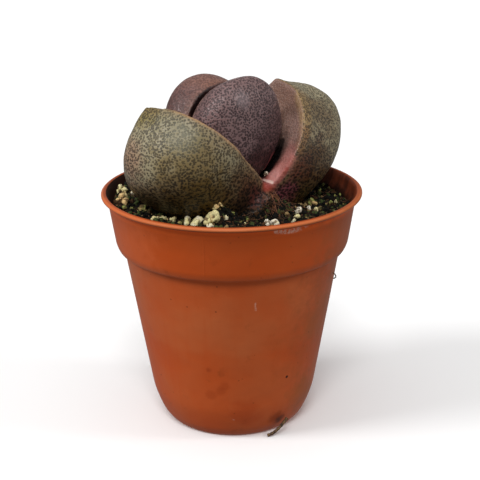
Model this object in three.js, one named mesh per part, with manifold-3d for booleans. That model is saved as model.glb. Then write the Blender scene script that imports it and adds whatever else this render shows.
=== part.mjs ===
// A purple split rock in a small nursery pot. Millimetres, +Z up, origin in the middle of the pot's foot.
// Two thick outer leaves stand open like a V, and an inner pair at right angles to them is almost closed.

import * as THREE from "three";
import { mergeVertices } from "three/addons/utils/BufferGeometryUtils.js";
import Module from "manifold-3d";

const wasm = await Module();
wasm.setup();

// Pot
const POT_HEIGHT = 51;
const RIM_RADIUS = 27.5;
const LIP_WIDTH = 1.3;
const LIP_HEIGHT = 1.0;
const COLLAR_TOP_RADIUS = 26.15;
const COLLAR_FOOT_RADIUS = 24.7;
const COLLAR_FOOT = 40.1;
const BODY_TOP_RADIUS = 23.0;
const BODY_TOP = 38.5;
const BODY_FOOT_RADIUS = 17.5;
const BODY_FOOT = 5.4;
const FOOT_RADIUS = 13.8;
const FOOT_RING_WIDTH = 1.5;
const FLOOR_RECESS = 0.8;
const WALL = 0.9;
const POT_SEGMENTS = 56;
const DRAIN_RADIUS = 2.6;
const DRAIN_CIRCLE = 7.8;
const DRAIN_COUNT = 4;

// Potting mix
const SOIL_LEVEL = 47.5;
const SOIL_FALL_X = 0.03;
const SOIL_FALL_Y = 0.012;
const SOIL_SEGMENTS = 40;
const MOUND = { x: 8, y: -8.5, radius: 3.2, height: 3 };
const LUMP_SINK = 0.22;
const CLODS = { count: 34, size: [1.8, 3.4], ring: [9, 22.5], arc: [0, 2], sink: 0.3 };
const LOOSE_PERLITE = { count: 16, size: [1.6, 3], ring: [15, 22.5], arc: [0.12, 0.88], sink: 0.1 };
const SEEN_PERLITE_SINK = 0.1;
const SEED = 7;

// Gap that stays between touching pieces
const GAP = 0.3;

// The two outer leaves meet in this point of the cleft's floor
const CLEFT_FLOOR = new THREE.Vector3(1.3, -0.45, 53.2);

// A leaf's face is an outline of points across and along it, seen from outside with the tip up. The back
// swells from that outline to its depth. Chin raises the deepest point towards the tip, belly widens the back
// beyond the outline, and the two powers set how fast the back deepens and narrows. Dish hollows the face.
const OUTER_FRONT_LEAF = {
  azimuth: 230,
  lean: 46,
  roll: 9,
  foot: CLEFT_FLOOR,
  right: [[-1.5, -9.5], [5.5, -7], [8.4, 0], [9.9, 6.5], [10.8, 12.5], [10.3, 17.8], [8, 22.4], [3.6, 25.2]],
  tip: [-4.3, 26],
  left: [[-10.5, 22.2], [-14.8, 16.5], [-16.2, 10], [-15, 4], [-12, -2], [-7.5, -7]],
  centre: [-2.5, 14.9],
  depth: 15.5,
  chin: 1.0,
  belly: 0,
  deepen: 0.85,
  narrow: 0.81,
  dish: 1.2,
};
const OUTER_BACK_LEAF = {
  azimuth: 46,
  lean: 34.5,
  roll: -1,
  foot: CLEFT_FLOOR,
  right: [[0, -9.5], [6.8, -6], [10.4, 0], [12.6, 6.5], [12.2, 12], [8.8, 17.2], [3.4, 20.9]],
  tip: [0.1, 23.4],
  left: [[-4.6, 22.4], [-8.6, 19.8], [-11.3, 16], [-12.5, 10], [-11.9, 5], [-9.6, 0], [-6.5, -6]],
  centre: [0, 13.2],
  depth: 17.0,
  chin: 4.2,
  belly: 0.12,
  deepen: 0.67,
  narrow: 0.77,
  dish: 1.2,
};

// The inner pair stands upright on one foot, and its faces are rounded ovals.
const INNER_FOOT = new THREE.Vector3(-1.15, -0.25, 52.2);
const INNER_HALF_WIDTH = 10.9;
const INNER_RISE = 11.9;
const INNER_DROP = 9.3;
const INNER_ROUNDNESS = 2.1;
const INNER_OUTLINE_POINTS = 32;
const INNER_FRONT_LEAF = {
  azimuth: -43.4,
  lean: 0.3,
  roll: 4.5,
  foot: INNER_FOOT,
  oval: true,
  centre: [0, INNER_DROP],
  depth: 9.4,
  chin: 2.5,
  belly: 0.24,
  deepen: 0.97,
  narrow: 1.03,
  dish: 0,
};
const INNER_BACK_LEAF = {
  azimuth: 136.6,
  lean: 1.8,
  roll: -4.5,
  foot: INNER_FOOT,
  oval: true,
  centre: [0, INNER_DROP],
  depth: 10.4,
  chin: 3.9,
  belly: 0.07,
  deepen: 0.8,
  narrow: 1.02,
  dish: 0,
};
const SAMPLES_PER_SPAN = 3;
const BACK_ROWS = 10;
const FACE_ROWS = 3;

// Rootstock, hidden in the soil: radius and height of its turned outline, from the tip of the root up
const ROOTSTOCK = [[0, 20], [0.9, 21], [1.6, 27], [2.8, 35], [4.6, 40], [6.2, 44], [6.6, 47.5], [0, 47.5]];
const ROOTSTOCK_SEGMENTS = 16;

// Perlite grains that lie in view: x, y and size
const SEEN_PERLITE = [
  [-24.1, 5.5, 2.4], [-23.4, -1.6, 3.0], [-22.6, 1.2, 2.2], [-21.6, -3.6, 2.2], [-18.4, -9.2, 2.8],
  [-15.5, -14.6, 2.2], [-13.6, -14.2, 1.8], [-11.6, -15.0, 2.0], [-8.9, -16.9, 2.6], [-7.0, -17.2, 2.0],
  [-5.9, -16.2, 2.0], [-4.0, -15.6, 3.2], [-1.2, -14.6, 1.8], [8.0, -17.4, 2.8], [13.6, -9.0, 2.0],
  [13.2, -11.8, 1.9], [15.2, -12.6, 1.8], [16.2, -5.2, 2.2], [17.8, -6.4, 1.9], [17.2, -0.4, 2.8],
  [19.2, 7.8, 2.0], [20.2, 12.6, 2.2], [21.4, 10.6, 1.8], [22.2, 4.2, 2.3], [22.1, 0.6, 1.9],
];

// A repeatable draw of numbers between 0 and 1
function seededDraw(seed) {
  let state = seed;
  return () => {
    state = (state * 16807) % 2147483647;
    return state / 2147483647;
  };
}

// Joins coincident vertices and keeps only their positions
function merged(geometry) {
  const plain = geometry.index ? geometry.clone() : geometry;
  for (const name of Object.keys(plain.attributes)) {
    if (name !== "position") {
      plain.deleteAttribute(name);
    }
  }
  return mergeVertices(plain, 1e-4);
}

function toSolid(geometry) {
  const shape = merged(geometry);
  return new wasm.Manifold(new wasm.Mesh({
    numProp: 3,
    vertProperties: Float32Array.from(shape.attributes.position.array),
    triVerts: Uint32Array.from(shape.index.array),
  }));
}

function toGeometry(solid) {
  const mesh = solid.getMesh();
  const geometry = new THREE.BufferGeometry();
  geometry.setAttribute("position", new THREE.BufferAttribute(Float32Array.from(mesh.vertProperties), 3));
  geometry.setIndex(new THREE.BufferAttribute(Uint32Array.from(mesh.triVerts), 1));
  return geometry;
}

// The largest body of a solid, without the scraps that a cut leaves
function largestBody(solid) {
  return solid.decompose().reduce((best, body) => (body.volume() > best.volume() ? body : best));
}

// A copy whose surface lies a distance further out
function swollen(geometry, distance) {
  const shape = merged(geometry.clone());
  shape.computeVertexNormals();
  const position = shape.attributes.position;
  const normal = shape.attributes.normal;
  for (let i = 0; i < position.count; i += 1) {
    position.setXYZ(
      i,
      position.getX(i) + normal.getX(i) * distance,
      position.getY(i) + normal.getY(i) * distance,
      position.getZ(i) + normal.getZ(i) * distance,
    );
  }
  return shape;
}

// Turned shapes stand along +Z
function turned(profile, segments) {
  const lathe = new THREE.LatheGeometry(profile.map(([radius, z]) => new THREE.Vector2(radius, z)), segments);
  lathe.rotateX(Math.PI / 2);
  return lathe;
}

// Radius of the pot's inner wall at a height
function innerRadius(z) {
  if (z > COLLAR_FOOT) {
    const share = (z - COLLAR_FOOT) / (POT_HEIGHT - COLLAR_FOOT);
    return THREE.MathUtils.lerp(COLLAR_FOOT_RADIUS, COLLAR_TOP_RADIUS, share) - WALL;
  }
  const share = (z - BODY_FOOT) / (BODY_TOP - BODY_FOOT);
  return THREE.MathUtils.lerp(BODY_FOOT_RADIUS, BODY_TOP_RADIUS, share) - WALL;
}

function potGeometry() {
  const floorTop = FLOOR_RECESS + WALL;
  const lipInner = RIM_RADIUS - LIP_WIDTH;
  const profile = [
    [0, FLOOR_RECESS],
    [FOOT_RADIUS - FOOT_RING_WIDTH - 0.3, FLOOR_RECESS],
    [FOOT_RADIUS - FOOT_RING_WIDTH, 0],
    [FOOT_RADIUS, 0],
    [FOOT_RADIUS + 1.6, 0.7],
    [FOOT_RADIUS + 2.9, 2.5],
    [BODY_FOOT_RADIUS, BODY_FOOT],
    [BODY_TOP_RADIUS, BODY_TOP],
    [COLLAR_FOOT_RADIUS - 0.6, BODY_TOP + 0.3],
    [COLLAR_FOOT_RADIUS - 0.1, BODY_TOP + 0.9],
    [COLLAR_FOOT_RADIUS, COLLAR_FOOT],
    [COLLAR_TOP_RADIUS - 0.15, POT_HEIGHT - LIP_HEIGHT - 1.6],
    [COLLAR_TOP_RADIUS, POT_HEIGHT - LIP_HEIGHT - 0.3],
    [RIM_RADIUS - 0.5, POT_HEIGHT - LIP_HEIGHT],
    [RIM_RADIUS - 0.1, POT_HEIGHT - LIP_HEIGHT + 0.2],
    [RIM_RADIUS, POT_HEIGHT - LIP_HEIGHT / 2],
    [RIM_RADIUS - 0.15, POT_HEIGHT - 0.15],
    [RIM_RADIUS - 0.5, POT_HEIGHT],
    [lipInner, POT_HEIGHT],
    [lipInner - 0.6, POT_HEIGHT - 0.3],
    [innerRadius(POT_HEIGHT - LIP_HEIGHT), POT_HEIGHT - LIP_HEIGHT],
    [innerRadius(COLLAR_FOOT + 0.4), COLLAR_FOOT + 0.4],
    [innerRadius(BODY_TOP), BODY_TOP],
    [innerRadius(BODY_FOOT), BODY_FOOT],
    [FOOT_RADIUS + 1.6, floorTop + 1.2],
    [FOOT_RADIUS - 0.4, floorTop],
    [0, floorTop],
  ];
  let pot = toSolid(turned(profile, POT_SEGMENTS));
  const drain = new THREE.CylinderGeometry(DRAIN_RADIUS, DRAIN_RADIUS, 6 * WALL, 20);
  drain.rotateX(Math.PI / 2);
  pot = pot.subtract(toSolid(drain));
  for (let i = 0; i < DRAIN_COUNT; i += 1) {
    const angle = ((i + 0.5) / DRAIN_COUNT) * 2 * Math.PI;
    const hole = drain.clone().translate(DRAIN_CIRCLE * Math.cos(angle), DRAIN_CIRCLE * Math.sin(angle), 0);
    pot = pot.subtract(toSolid(hole));
  }
  return toGeometry(pot);
}

// Height of the soil's surface, with its mound beside the cleft and slow waves
function soilHeight(x, y) {
  const fromMound = ((x - MOUND.x) ** 2 + (y - MOUND.y) ** 2) / (2 * MOUND.radius ** 2);
  const longWaves = 0.35 * Math.sin(0.62 * x + 0.9) * Math.cos(0.55 * y - 0.4);
  const shortWaves = 0.2 * Math.sin(1.3 * y + 0.7 * x);
  const tilted = SOIL_LEVEL - SOIL_FALL_X * x - SOIL_FALL_Y * y;
  return tilted + MOUND.height * Math.exp(-fromMound) + longWaves + shortWaves;
}

// A rough lump of few faces, stretched and turned by the draw
function lump(size, draw) {
  const shape = merged(new THREE.IcosahedronGeometry(size / 2, 0));
  const position = shape.attributes.position;
  for (let i = 0; i < position.count; i += 1) {
    const stretch = 0.85 + 0.3 * draw();
    position.setXYZ(i, position.getX(i) * stretch, position.getY(i) * stretch, position.getZ(i) * stretch);
  }
  shape.scale(0.9 + 0.3 * draw(), 0.9 + 0.2 * draw(), 0.75 + 0.2 * draw());
  shape.rotateZ(2 * Math.PI * draw());
  return shape;
}

function soilBody() {
  const levels = [0.97, 0.86, 0.74, 0.62, 0.5, 0.36, 0.2];
  const top = SOIL_LEVEL;
  const wall = (z) => innerRadius(z) - GAP;
  const floorTop = FLOOR_RECESS + WALL + GAP;
  const profile = [
    [0, floorTop],
    [FOOT_RADIUS - 0.8, floorTop],
    [FOOT_RADIUS + 1.2, floorTop + 1.2],
    [wall(BODY_FOOT) - 0.2, BODY_FOOT + 0.1],
    [wall(BODY_TOP) - 0.1, BODY_TOP + 0.1],
    [wall(COLLAR_FOOT + 0.4) - 0.1, COLLAR_FOOT + 0.5],
    [wall(top - 1.5), top - 1.5],
    ...levels.map((share) => [share * wall(top), top]),
    [0, top],
  ];
  const body = merged(turned(profile, SOIL_SEGMENTS));
  const position = body.attributes.position;
  for (let i = 0; i < position.count; i += 1) {
    if (position.getZ(i) > top - 0.01) {
      position.setZ(i, soilHeight(position.getX(i), position.getY(i)));
    }
  }
  return toSolid(body);
}

// Places for a kind of lump, drawn between two radii and two angles (in half turns from +X)
function scattered(kind, draw) {
  const between = ([low, high]) => low + (high - low) * draw();
  return Array.from({ length: kind.count }, () => {
    const angle = between(kind.arc) * Math.PI;
    const radius = between(kind.ring);
    const size = between(kind.size);
    return { x: radius * Math.cos(angle), y: radius * Math.sin(angle), size, sink: kind.sink };
  });
}

// Lumps sunk into the surface: the perlite in view, more of it on the far side, and peat clods
function surfaceLumps() {
  const draw = seededDraw(SEED);
  const seen = SEEN_PERLITE.map(([x, y, size]) => ({ x, y, size, sink: SEEN_PERLITE_SINK }));
  const places = [...seen, ...scattered(LOOSE_PERLITE, draw), ...scattered(CLODS, draw)];
  return places.map(({ x, y, size, sink }) => {
    const wallClearRadius = innerRadius(SOIL_LEVEL) - GAP - 0.68 * size;
    const pull = Math.min(1, wallClearRadius / Math.hypot(x, y));
    const height = soilHeight(x * pull, y * pull) + size * (LUMP_SINK - sink);
    return lump(size, draw).translate(x * pull, y * pull, height);
  });
}

// Points of a face's outline with a sharp tip, and the same number with the tip rounded off
function faceOutlines(leaf) {
  if (leaf.oval) {
    const bulged = (value) => Math.sign(value) * Math.abs(value) ** (2 / INNER_ROUNDNESS);
    const oval = [];
    for (let i = 0; i < INNER_OUTLINE_POINTS; i += 1) {
      const angle = (i / INNER_OUTLINE_POINTS) * 2 * Math.PI - Math.PI / 2;
      const reach = Math.sin(angle) > 0 ? INNER_RISE : INNER_DROP;
      oval.push([INNER_HALF_WIDTH * bulged(Math.cos(angle)), INNER_DROP + reach * bulged(Math.sin(angle))]);
    }
    return { sharp: oval, round: oval };
  }
  const flat = ([a, b]) => new THREE.Vector3(a, b, 0);
  const right = [...leaf.right, leaf.tip].map(flat);
  const left = [leaf.tip, ...leaf.left, leaf.right[0]].map(flat);
  const sharp = [];
  for (const side of [right, left]) {
    const curve = new THREE.CatmullRomCurve3(side, false, "catmullrom", 0.5);
    const points = curve.getPoints((side.length - 1) * SAMPLES_PER_SPAN);
    sharp.push(...points.slice(0, -1));
  }
  const corners = [...right.slice(0, -1), ...left.slice(0, -1)];
  const ring = new THREE.CatmullRomCurve3(corners, true, "catmullrom", 0.5);
  const round = ring.getPoints(sharp.length).slice(0, -1);
  const pair = (point) => [point.x, point.y];
  return { sharp: sharp.map(pair), round: round.map(pair) };
}

// Rings of points from the middle of the face out to its edge, then over the back to its deepest point
function leafRings(leaf) {
  const { sharp, round } = faceOutlines(leaf);
  const [centreAcross, centreAlong] = leaf.centre;
  const rings = [];
  for (let row = 1; row < FACE_ROWS; row += 1) {
    const share = row / FACE_ROWS;
    rings.push(sharp.map(([a, b]) => [
      centreAcross + (a - centreAcross) * share,
      centreAlong + (b - centreAlong) * share,
      leaf.dish * (1 - share ** 2),
    ]));
  }
  for (let row = 0; row < BACK_ROWS; row += 1) {
    const angle = (row / BACK_ROWS) * (Math.PI / 2);
    const blend = Math.sin(angle) ** 0.6;
    const width = Math.cos(angle) ** leaf.narrow + leaf.belly * Math.sin(2 * angle);
    const depth = Math.sin(angle) ** leaf.deepen;
    rings.push(sharp.map(([a, b], i) => [
      centreAcross + (THREE.MathUtils.lerp(a, round[i][0], blend) - centreAcross) * width,
      centreAlong + (THREE.MathUtils.lerp(b, round[i][1], blend) - centreAlong) * width + leaf.chin * depth,
      leaf.depth * depth,
    ]));
  }
  return rings;
}

// Turns a leaf from its own axes, across, along and outwards, to its place on the plant
function leafPlacement(leaf) {
  const azimuth = THREE.MathUtils.degToRad(leaf.azimuth);
  const lean = THREE.MathUtils.degToRad(leaf.lean);
  const outwards = new THREE.Vector3(Math.cos(azimuth), Math.sin(azimuth), 0);
  const up = new THREE.Vector3(0, 0, 1);
  const along = up.clone().multiplyScalar(Math.cos(lean)).addScaledVector(outwards, Math.sin(lean));
  const out = outwards.clone().multiplyScalar(Math.cos(lean)).addScaledVector(up, -Math.sin(lean));
  const across = new THREE.Vector3().crossVectors(along, out);
  const matrix = new THREE.Matrix4().makeBasis(across, along, out);
  matrix.multiply(new THREE.Matrix4().makeRotationZ(THREE.MathUtils.degToRad(leaf.roll)));
  return matrix.setPosition(leaf.foot);
}

function leafGeometry(leaf) {
  const rings = leafRings(leaf);
  const [centreAcross, centreAlong] = leaf.centre;
  const count = rings[0].length;
  const vertices = rings.flat(2);
  const faceMiddle = rings.length * count;
  const backMiddle = faceMiddle + 1;
  vertices.push(centreAcross, centreAlong, leaf.dish);
  vertices.push(centreAcross, centreAlong + leaf.chin, leaf.depth);
  const triangles = [];
  for (let i = 0; i < count; i += 1) {
    const next = (i + 1) % count;
    triangles.push(faceMiddle, next, i);
    for (let row = 0; row < rings.length - 1; row += 1) {
      const here = row * count;
      const above = here + count;
      triangles.push(here + i, here + next, above + next);
      triangles.push(here + i, above + next, above + i);
    }
    const last = (rings.length - 1) * count;
    triangles.push(last + i, last + next, backMiddle);
  }
  const geometry = new THREE.BufferGeometry();
  geometry.setAttribute("position", new THREE.BufferAttribute(Float32Array.from(vertices), 3));
  geometry.setIndex(triangles);
  return geometry.applyMatrix4(leafPlacement(leaf));
}

// The direction in which a leaf's back swells
function outward(leaf) {
  return new THREE.Vector3(0, 0, 1).transformDirection(leafPlacement(leaf));
}

// A block that fills a leaf's own side of the upright plane along the cleft's floor
function ownSide(leaf) {
  const cleft = new THREE.Vector3().crossVectors(outward(OUTER_FRONT_LEAF), outward(OUTER_BACK_LEAF));
  const facing = Math.atan2(cleft.x, -cleft.y);
  const direction = new THREE.Vector3(Math.cos(facing), Math.sin(facing), 0);
  const side = Math.sign(direction.dot(outward(leaf)));
  const size = 100;
  const block = new THREE.BoxGeometry(size, size, size);
  block.translate((side * (size + GAP)) / 2, 0, 0);
  block.rotateZ(facing);
  return toSolid(block.translate(CLEFT_FLOOR.x, CLEFT_FLOOR.y, CLEFT_FLOOR.z));
}

function outerLeafGeometry(leaf) {
  return toGeometry(largestBody(toSolid(leafGeometry(leaf)).intersect(ownSide(leaf))));
}

// Half the gap lies on each side of the slit between the inner leaves, and their feet clear the outer faces
function innerLeafGeometry(leaf) {
  const shift = outward(leaf).multiplyScalar(GAP / 2);
  return withoutLeaves(toSolid(leafGeometry(leaf).translate(shift.x, shift.y, shift.z)), outerLeaves);
}

function withoutLeaves(solid, leaves) {
  return toGeometry(largestBody(leaves.reduce(
    (rest, leaf) => rest.subtract(toSolid(swollen(leafGeometry(leaf), GAP))),
    solid,
  )));
}

function rootstockBlank() {
  return turned(ROOTSTOCK, ROOTSTOCK_SEGMENTS).translate(CLEFT_FLOOR.x, CLEFT_FLOOR.y, 0);
}

function rootstockGeometry() {
  return withoutLeaves(toSolid(rootstockBlank()), allLeaves);
}

function soilGeometry() {
  let solid = soilBody();
  for (const shape of surfaceLumps()) {
    solid = solid.add(toSolid(shape));
  }
  return withoutLeaves(solid.subtract(toSolid(swollen(rootstockBlank(), GAP))), allLeaves);
}

// One sub-part: a named mesh with its own material
function piece(name, geometry, color, roughness) {
  geometry.computeVertexNormals();
  const material = new THREE.MeshStandardMaterial({ color, roughness, metalness: 0 });
  const mesh = new THREE.Mesh(geometry, material);
  mesh.name = name;
  return mesh;
}

const outerLeaves = [OUTER_FRONT_LEAF, OUTER_BACK_LEAF];
const allLeaves = [...outerLeaves, INNER_FRONT_LEAF, INNER_BACK_LEAF];

const plant = new THREE.Group();
plant.add(piece("leaf_outer_front", outerLeafGeometry(OUTER_FRONT_LEAF), 0x7d7864, 0.55));
plant.add(piece("leaf_outer_back", outerLeafGeometry(OUTER_BACK_LEAF), 0x87705f, 0.55));
plant.add(piece("leaf_inner_front", innerLeafGeometry(INNER_FRONT_LEAF), 0x66525a, 0.5));
plant.add(piece("leaf_inner_back", innerLeafGeometry(INNER_BACK_LEAF), 0x7a5f5c, 0.5));
plant.add(piece("rootstock", rootstockGeometry(), 0x6b4a34, 0.85));

const holder = new THREE.Group();
holder.add(piece("pot", potGeometry(), 0xa5502d, 0.45));
holder.add(piece("soil", soilGeometry(), 0x2a221b, 0.95));

const potted = new THREE.Group();
potted.add(holder);
potted.add(plant);

export default potted;
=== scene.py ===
"""A purple split rock in a small terracotta-coloured nursery pot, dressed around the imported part."""

import logging
import math
from collections.abc import Callable
from dataclasses import dataclass, field
from enum import Enum

import bmesh
import bpy
import numpy as np
from mathutils import Euler, Matrix, Vector, noise
from mathutils.bvhtree import BVHTree
from mathutils.kdtree import KDTree


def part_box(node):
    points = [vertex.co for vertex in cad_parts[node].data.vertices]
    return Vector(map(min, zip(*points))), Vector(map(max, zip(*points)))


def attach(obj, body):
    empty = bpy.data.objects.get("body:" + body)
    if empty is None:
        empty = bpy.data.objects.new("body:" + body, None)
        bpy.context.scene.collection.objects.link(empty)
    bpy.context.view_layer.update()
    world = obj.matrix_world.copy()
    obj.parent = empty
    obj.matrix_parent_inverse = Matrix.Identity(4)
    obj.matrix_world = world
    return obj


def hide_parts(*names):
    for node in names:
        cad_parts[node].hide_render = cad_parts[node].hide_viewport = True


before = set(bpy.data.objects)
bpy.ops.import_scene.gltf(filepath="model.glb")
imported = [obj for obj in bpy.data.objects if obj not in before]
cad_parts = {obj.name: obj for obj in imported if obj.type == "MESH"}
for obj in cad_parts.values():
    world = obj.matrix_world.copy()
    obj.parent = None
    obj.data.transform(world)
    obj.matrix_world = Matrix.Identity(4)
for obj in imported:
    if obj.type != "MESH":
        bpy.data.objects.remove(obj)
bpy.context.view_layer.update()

log = logging.getLogger("split_rock")

MM = 0.001
PER_METRE = 1000.0
FULL_TURN = 2 * math.pi
ABOUT_A_TURN = 6.28

RIM_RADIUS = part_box("pot")[1].x * PER_METRE
POT_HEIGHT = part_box("pot")[1].z * PER_METRE
LIP_FOOT = POT_HEIGHT - 1.0

Colour = tuple[float, float, float, float]
Point = tuple[float, float, float]


def colour(red: int, green: int, blue: int) -> Colour:
    """A colour as a screen shows it, from 0 to 255 a channel, in the renderer's linear values."""
    return tuple(
        share / 12.92 if share <= 0.04045 else ((share + 0.055) / 1.055) ** 2.4
        for share in (red / 255, green / 255, blue / 255)
    ) + (1.0,)


def eased(value: np.ndarray, low: float, high: float) -> np.ndarray:
    """Rises smoothly from 0 at low to 1 at high; low may be the larger of the two."""
    share = np.clip((value - low) / (high - low), 0.0, 1.0)
    return share * share * (3 - 2 * share)


def angles_round(count: int) -> np.ndarray:
    """Even angles over a full turn."""
    return np.arange(count) / count * FULL_TURN


@dataclass(frozen=True)
class Wash:
    """A patch of another colour with a soft ragged edge; places and radius in millimetres."""

    tint: Colour
    centre: Point
    radius: float
    strength: float


@dataclass(frozen=True)
class Stroke:
    """A thin straight mark from one place to another, in millimetres."""

    start: Point
    end: Point
    width: float
    strength: float = 1.0


# Shader and geometry graphs


def operator(operation: str, swapped: bool = False) -> Callable[["Value", "Number"], "Value"]:
    """Makes one of Value's operators.

    Args:
        operation: The Math node's operation.
        swapped: Whether the other value comes first.

    Returns:
        The method.
    """

    def applied(value: "Value", other: "Number") -> "Value":
        """Adds the Math node."""
        pair = (other, value) if swapped else (value, other)
        return value.graph.maths(operation, *pair)

    return applied


class Value:
    """An output of a node, which adds Math nodes when it is used in an expression."""

    def __init__(self, graph: "Graph", socket: bpy.types.NodeSocket) -> None:
        """Keeps the graph that the socket belongs to."""
        self.graph = graph
        self.socket = socket

    __add__, __radd__ = operator("ADD"), operator("ADD", swapped=True)
    __sub__, __rsub__ = operator("SUBTRACT"), operator("SUBTRACT", swapped=True)
    __mul__, __rmul__ = operator("MULTIPLY"), operator("MULTIPLY", swapped=True)
    __truediv__, __rtruediv__ = operator("DIVIDE"), operator("DIVIDE", swapped=True)
    __pow__ = operator("POWER")

    def __abs__(self) -> "Value":
        """The value without its sign."""
        return self.graph.maths("ABSOLUTE", self)


Number = Value | float


class Graph:
    """Adds nodes to one node tree, with their settings and the values or links of their sockets."""

    def __init__(self, tree: bpy.types.NodeTree) -> None:
        """Keeps the tree that the nodes go into."""
        self.tree = tree

    @staticmethod
    def socket(sockets: bpy.types.bpy_prop_collection, key: str | int) -> bpy.types.NodeSocket:
        """Finds a socket by its place, or by its name among those in use."""
        if isinstance(key, int):
            return sockets[key]
        return next(s for s in sockets if s.enabled and key in (s.name, s.identifier))

    def node(self, kind: str, settings: dict | None = None, inputs: dict | None = None) -> bpy.types.Node:
        """Adds a node.

        Args:
            kind: The node's type.
            settings: Its properties; "stops" is a colour ramp's list of places and colours.
            inputs: Values or links by the socket's name or place.

        Returns:
            The node.
        """
        node = self.tree.nodes.new(kind)
        for key, setting in (settings or {}).items():
            if key == "stops":
                self._set_stops(node.color_ramp, setting)
            else:
                setattr(node, key, setting)
        for key, value in (inputs or {}).items():
            socket = self.socket(node.inputs, key)
            if isinstance(value, Value):
                self.tree.links.new(value.socket, socket)
            else:
                socket.default_value = value
        return node

    @staticmethod
    def _set_stops(ramp: bpy.types.ColorRamp, stops: list[tuple[float, Colour]]) -> None:
        """Gives a colour ramp its stops."""
        while len(ramp.elements) < len(stops):
            ramp.elements.new(1.0)
        for element, (place, shade) in zip(ramp.elements, stops):
            element.position = place
            element.color = shade

    def out(self, node: bpy.types.Node, key: str | int = 0) -> Value:
        """One output of a node."""
        return Value(self, self.socket(node.outputs, key))

    def maths(self, operation: str, *values: Number) -> Value:
        """A Math node on values."""
        return self.out(self.node("ShaderNodeMath", {"operation": operation}, dict(enumerate(values))))

    def largest(self, first: Number, *rest: Number) -> Value:
        """The largest of some values."""
        for other in rest:
            first = self.maths("MAXIMUM", first, other)
        return first

    def vector(self, operation: str, *values: Value | Point) -> Value:
        """A Vector Math node that gives a vector."""
        return self.out(self.node("ShaderNodeVectorMath", {"operation": operation}, dict(enumerate(values))))

    def measure(self, operation: str, first: Value, second: Value | Point) -> Value:
        """A Vector Math node that gives a number."""
        inputs = {0: first, 1: second}
        return self.out(self.node("ShaderNodeVectorMath", {"operation": operation}, inputs), "Value")

    def scaled(self, vector: Value | Point, scale: Number) -> Value:
        """A vector times a number."""
        inputs = {"Vector": vector, "Scale": scale}
        return self.out(self.node("ShaderNodeVectorMath", {"operation": "SCALE"}, inputs))

    def noise(self, place: Value, scale: float, detail: float = 2.0, roughness: float = 0.5) -> Value:
        """Cloudy noise between about 0.25 and 0.75, with so many clouds a unit of place."""
        inputs = {"Vector": place, "Scale": scale, "Detail": detail, "Roughness": roughness}
        return self.out(self.node("ShaderNodeTexNoise", None, inputs), 0)


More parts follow.
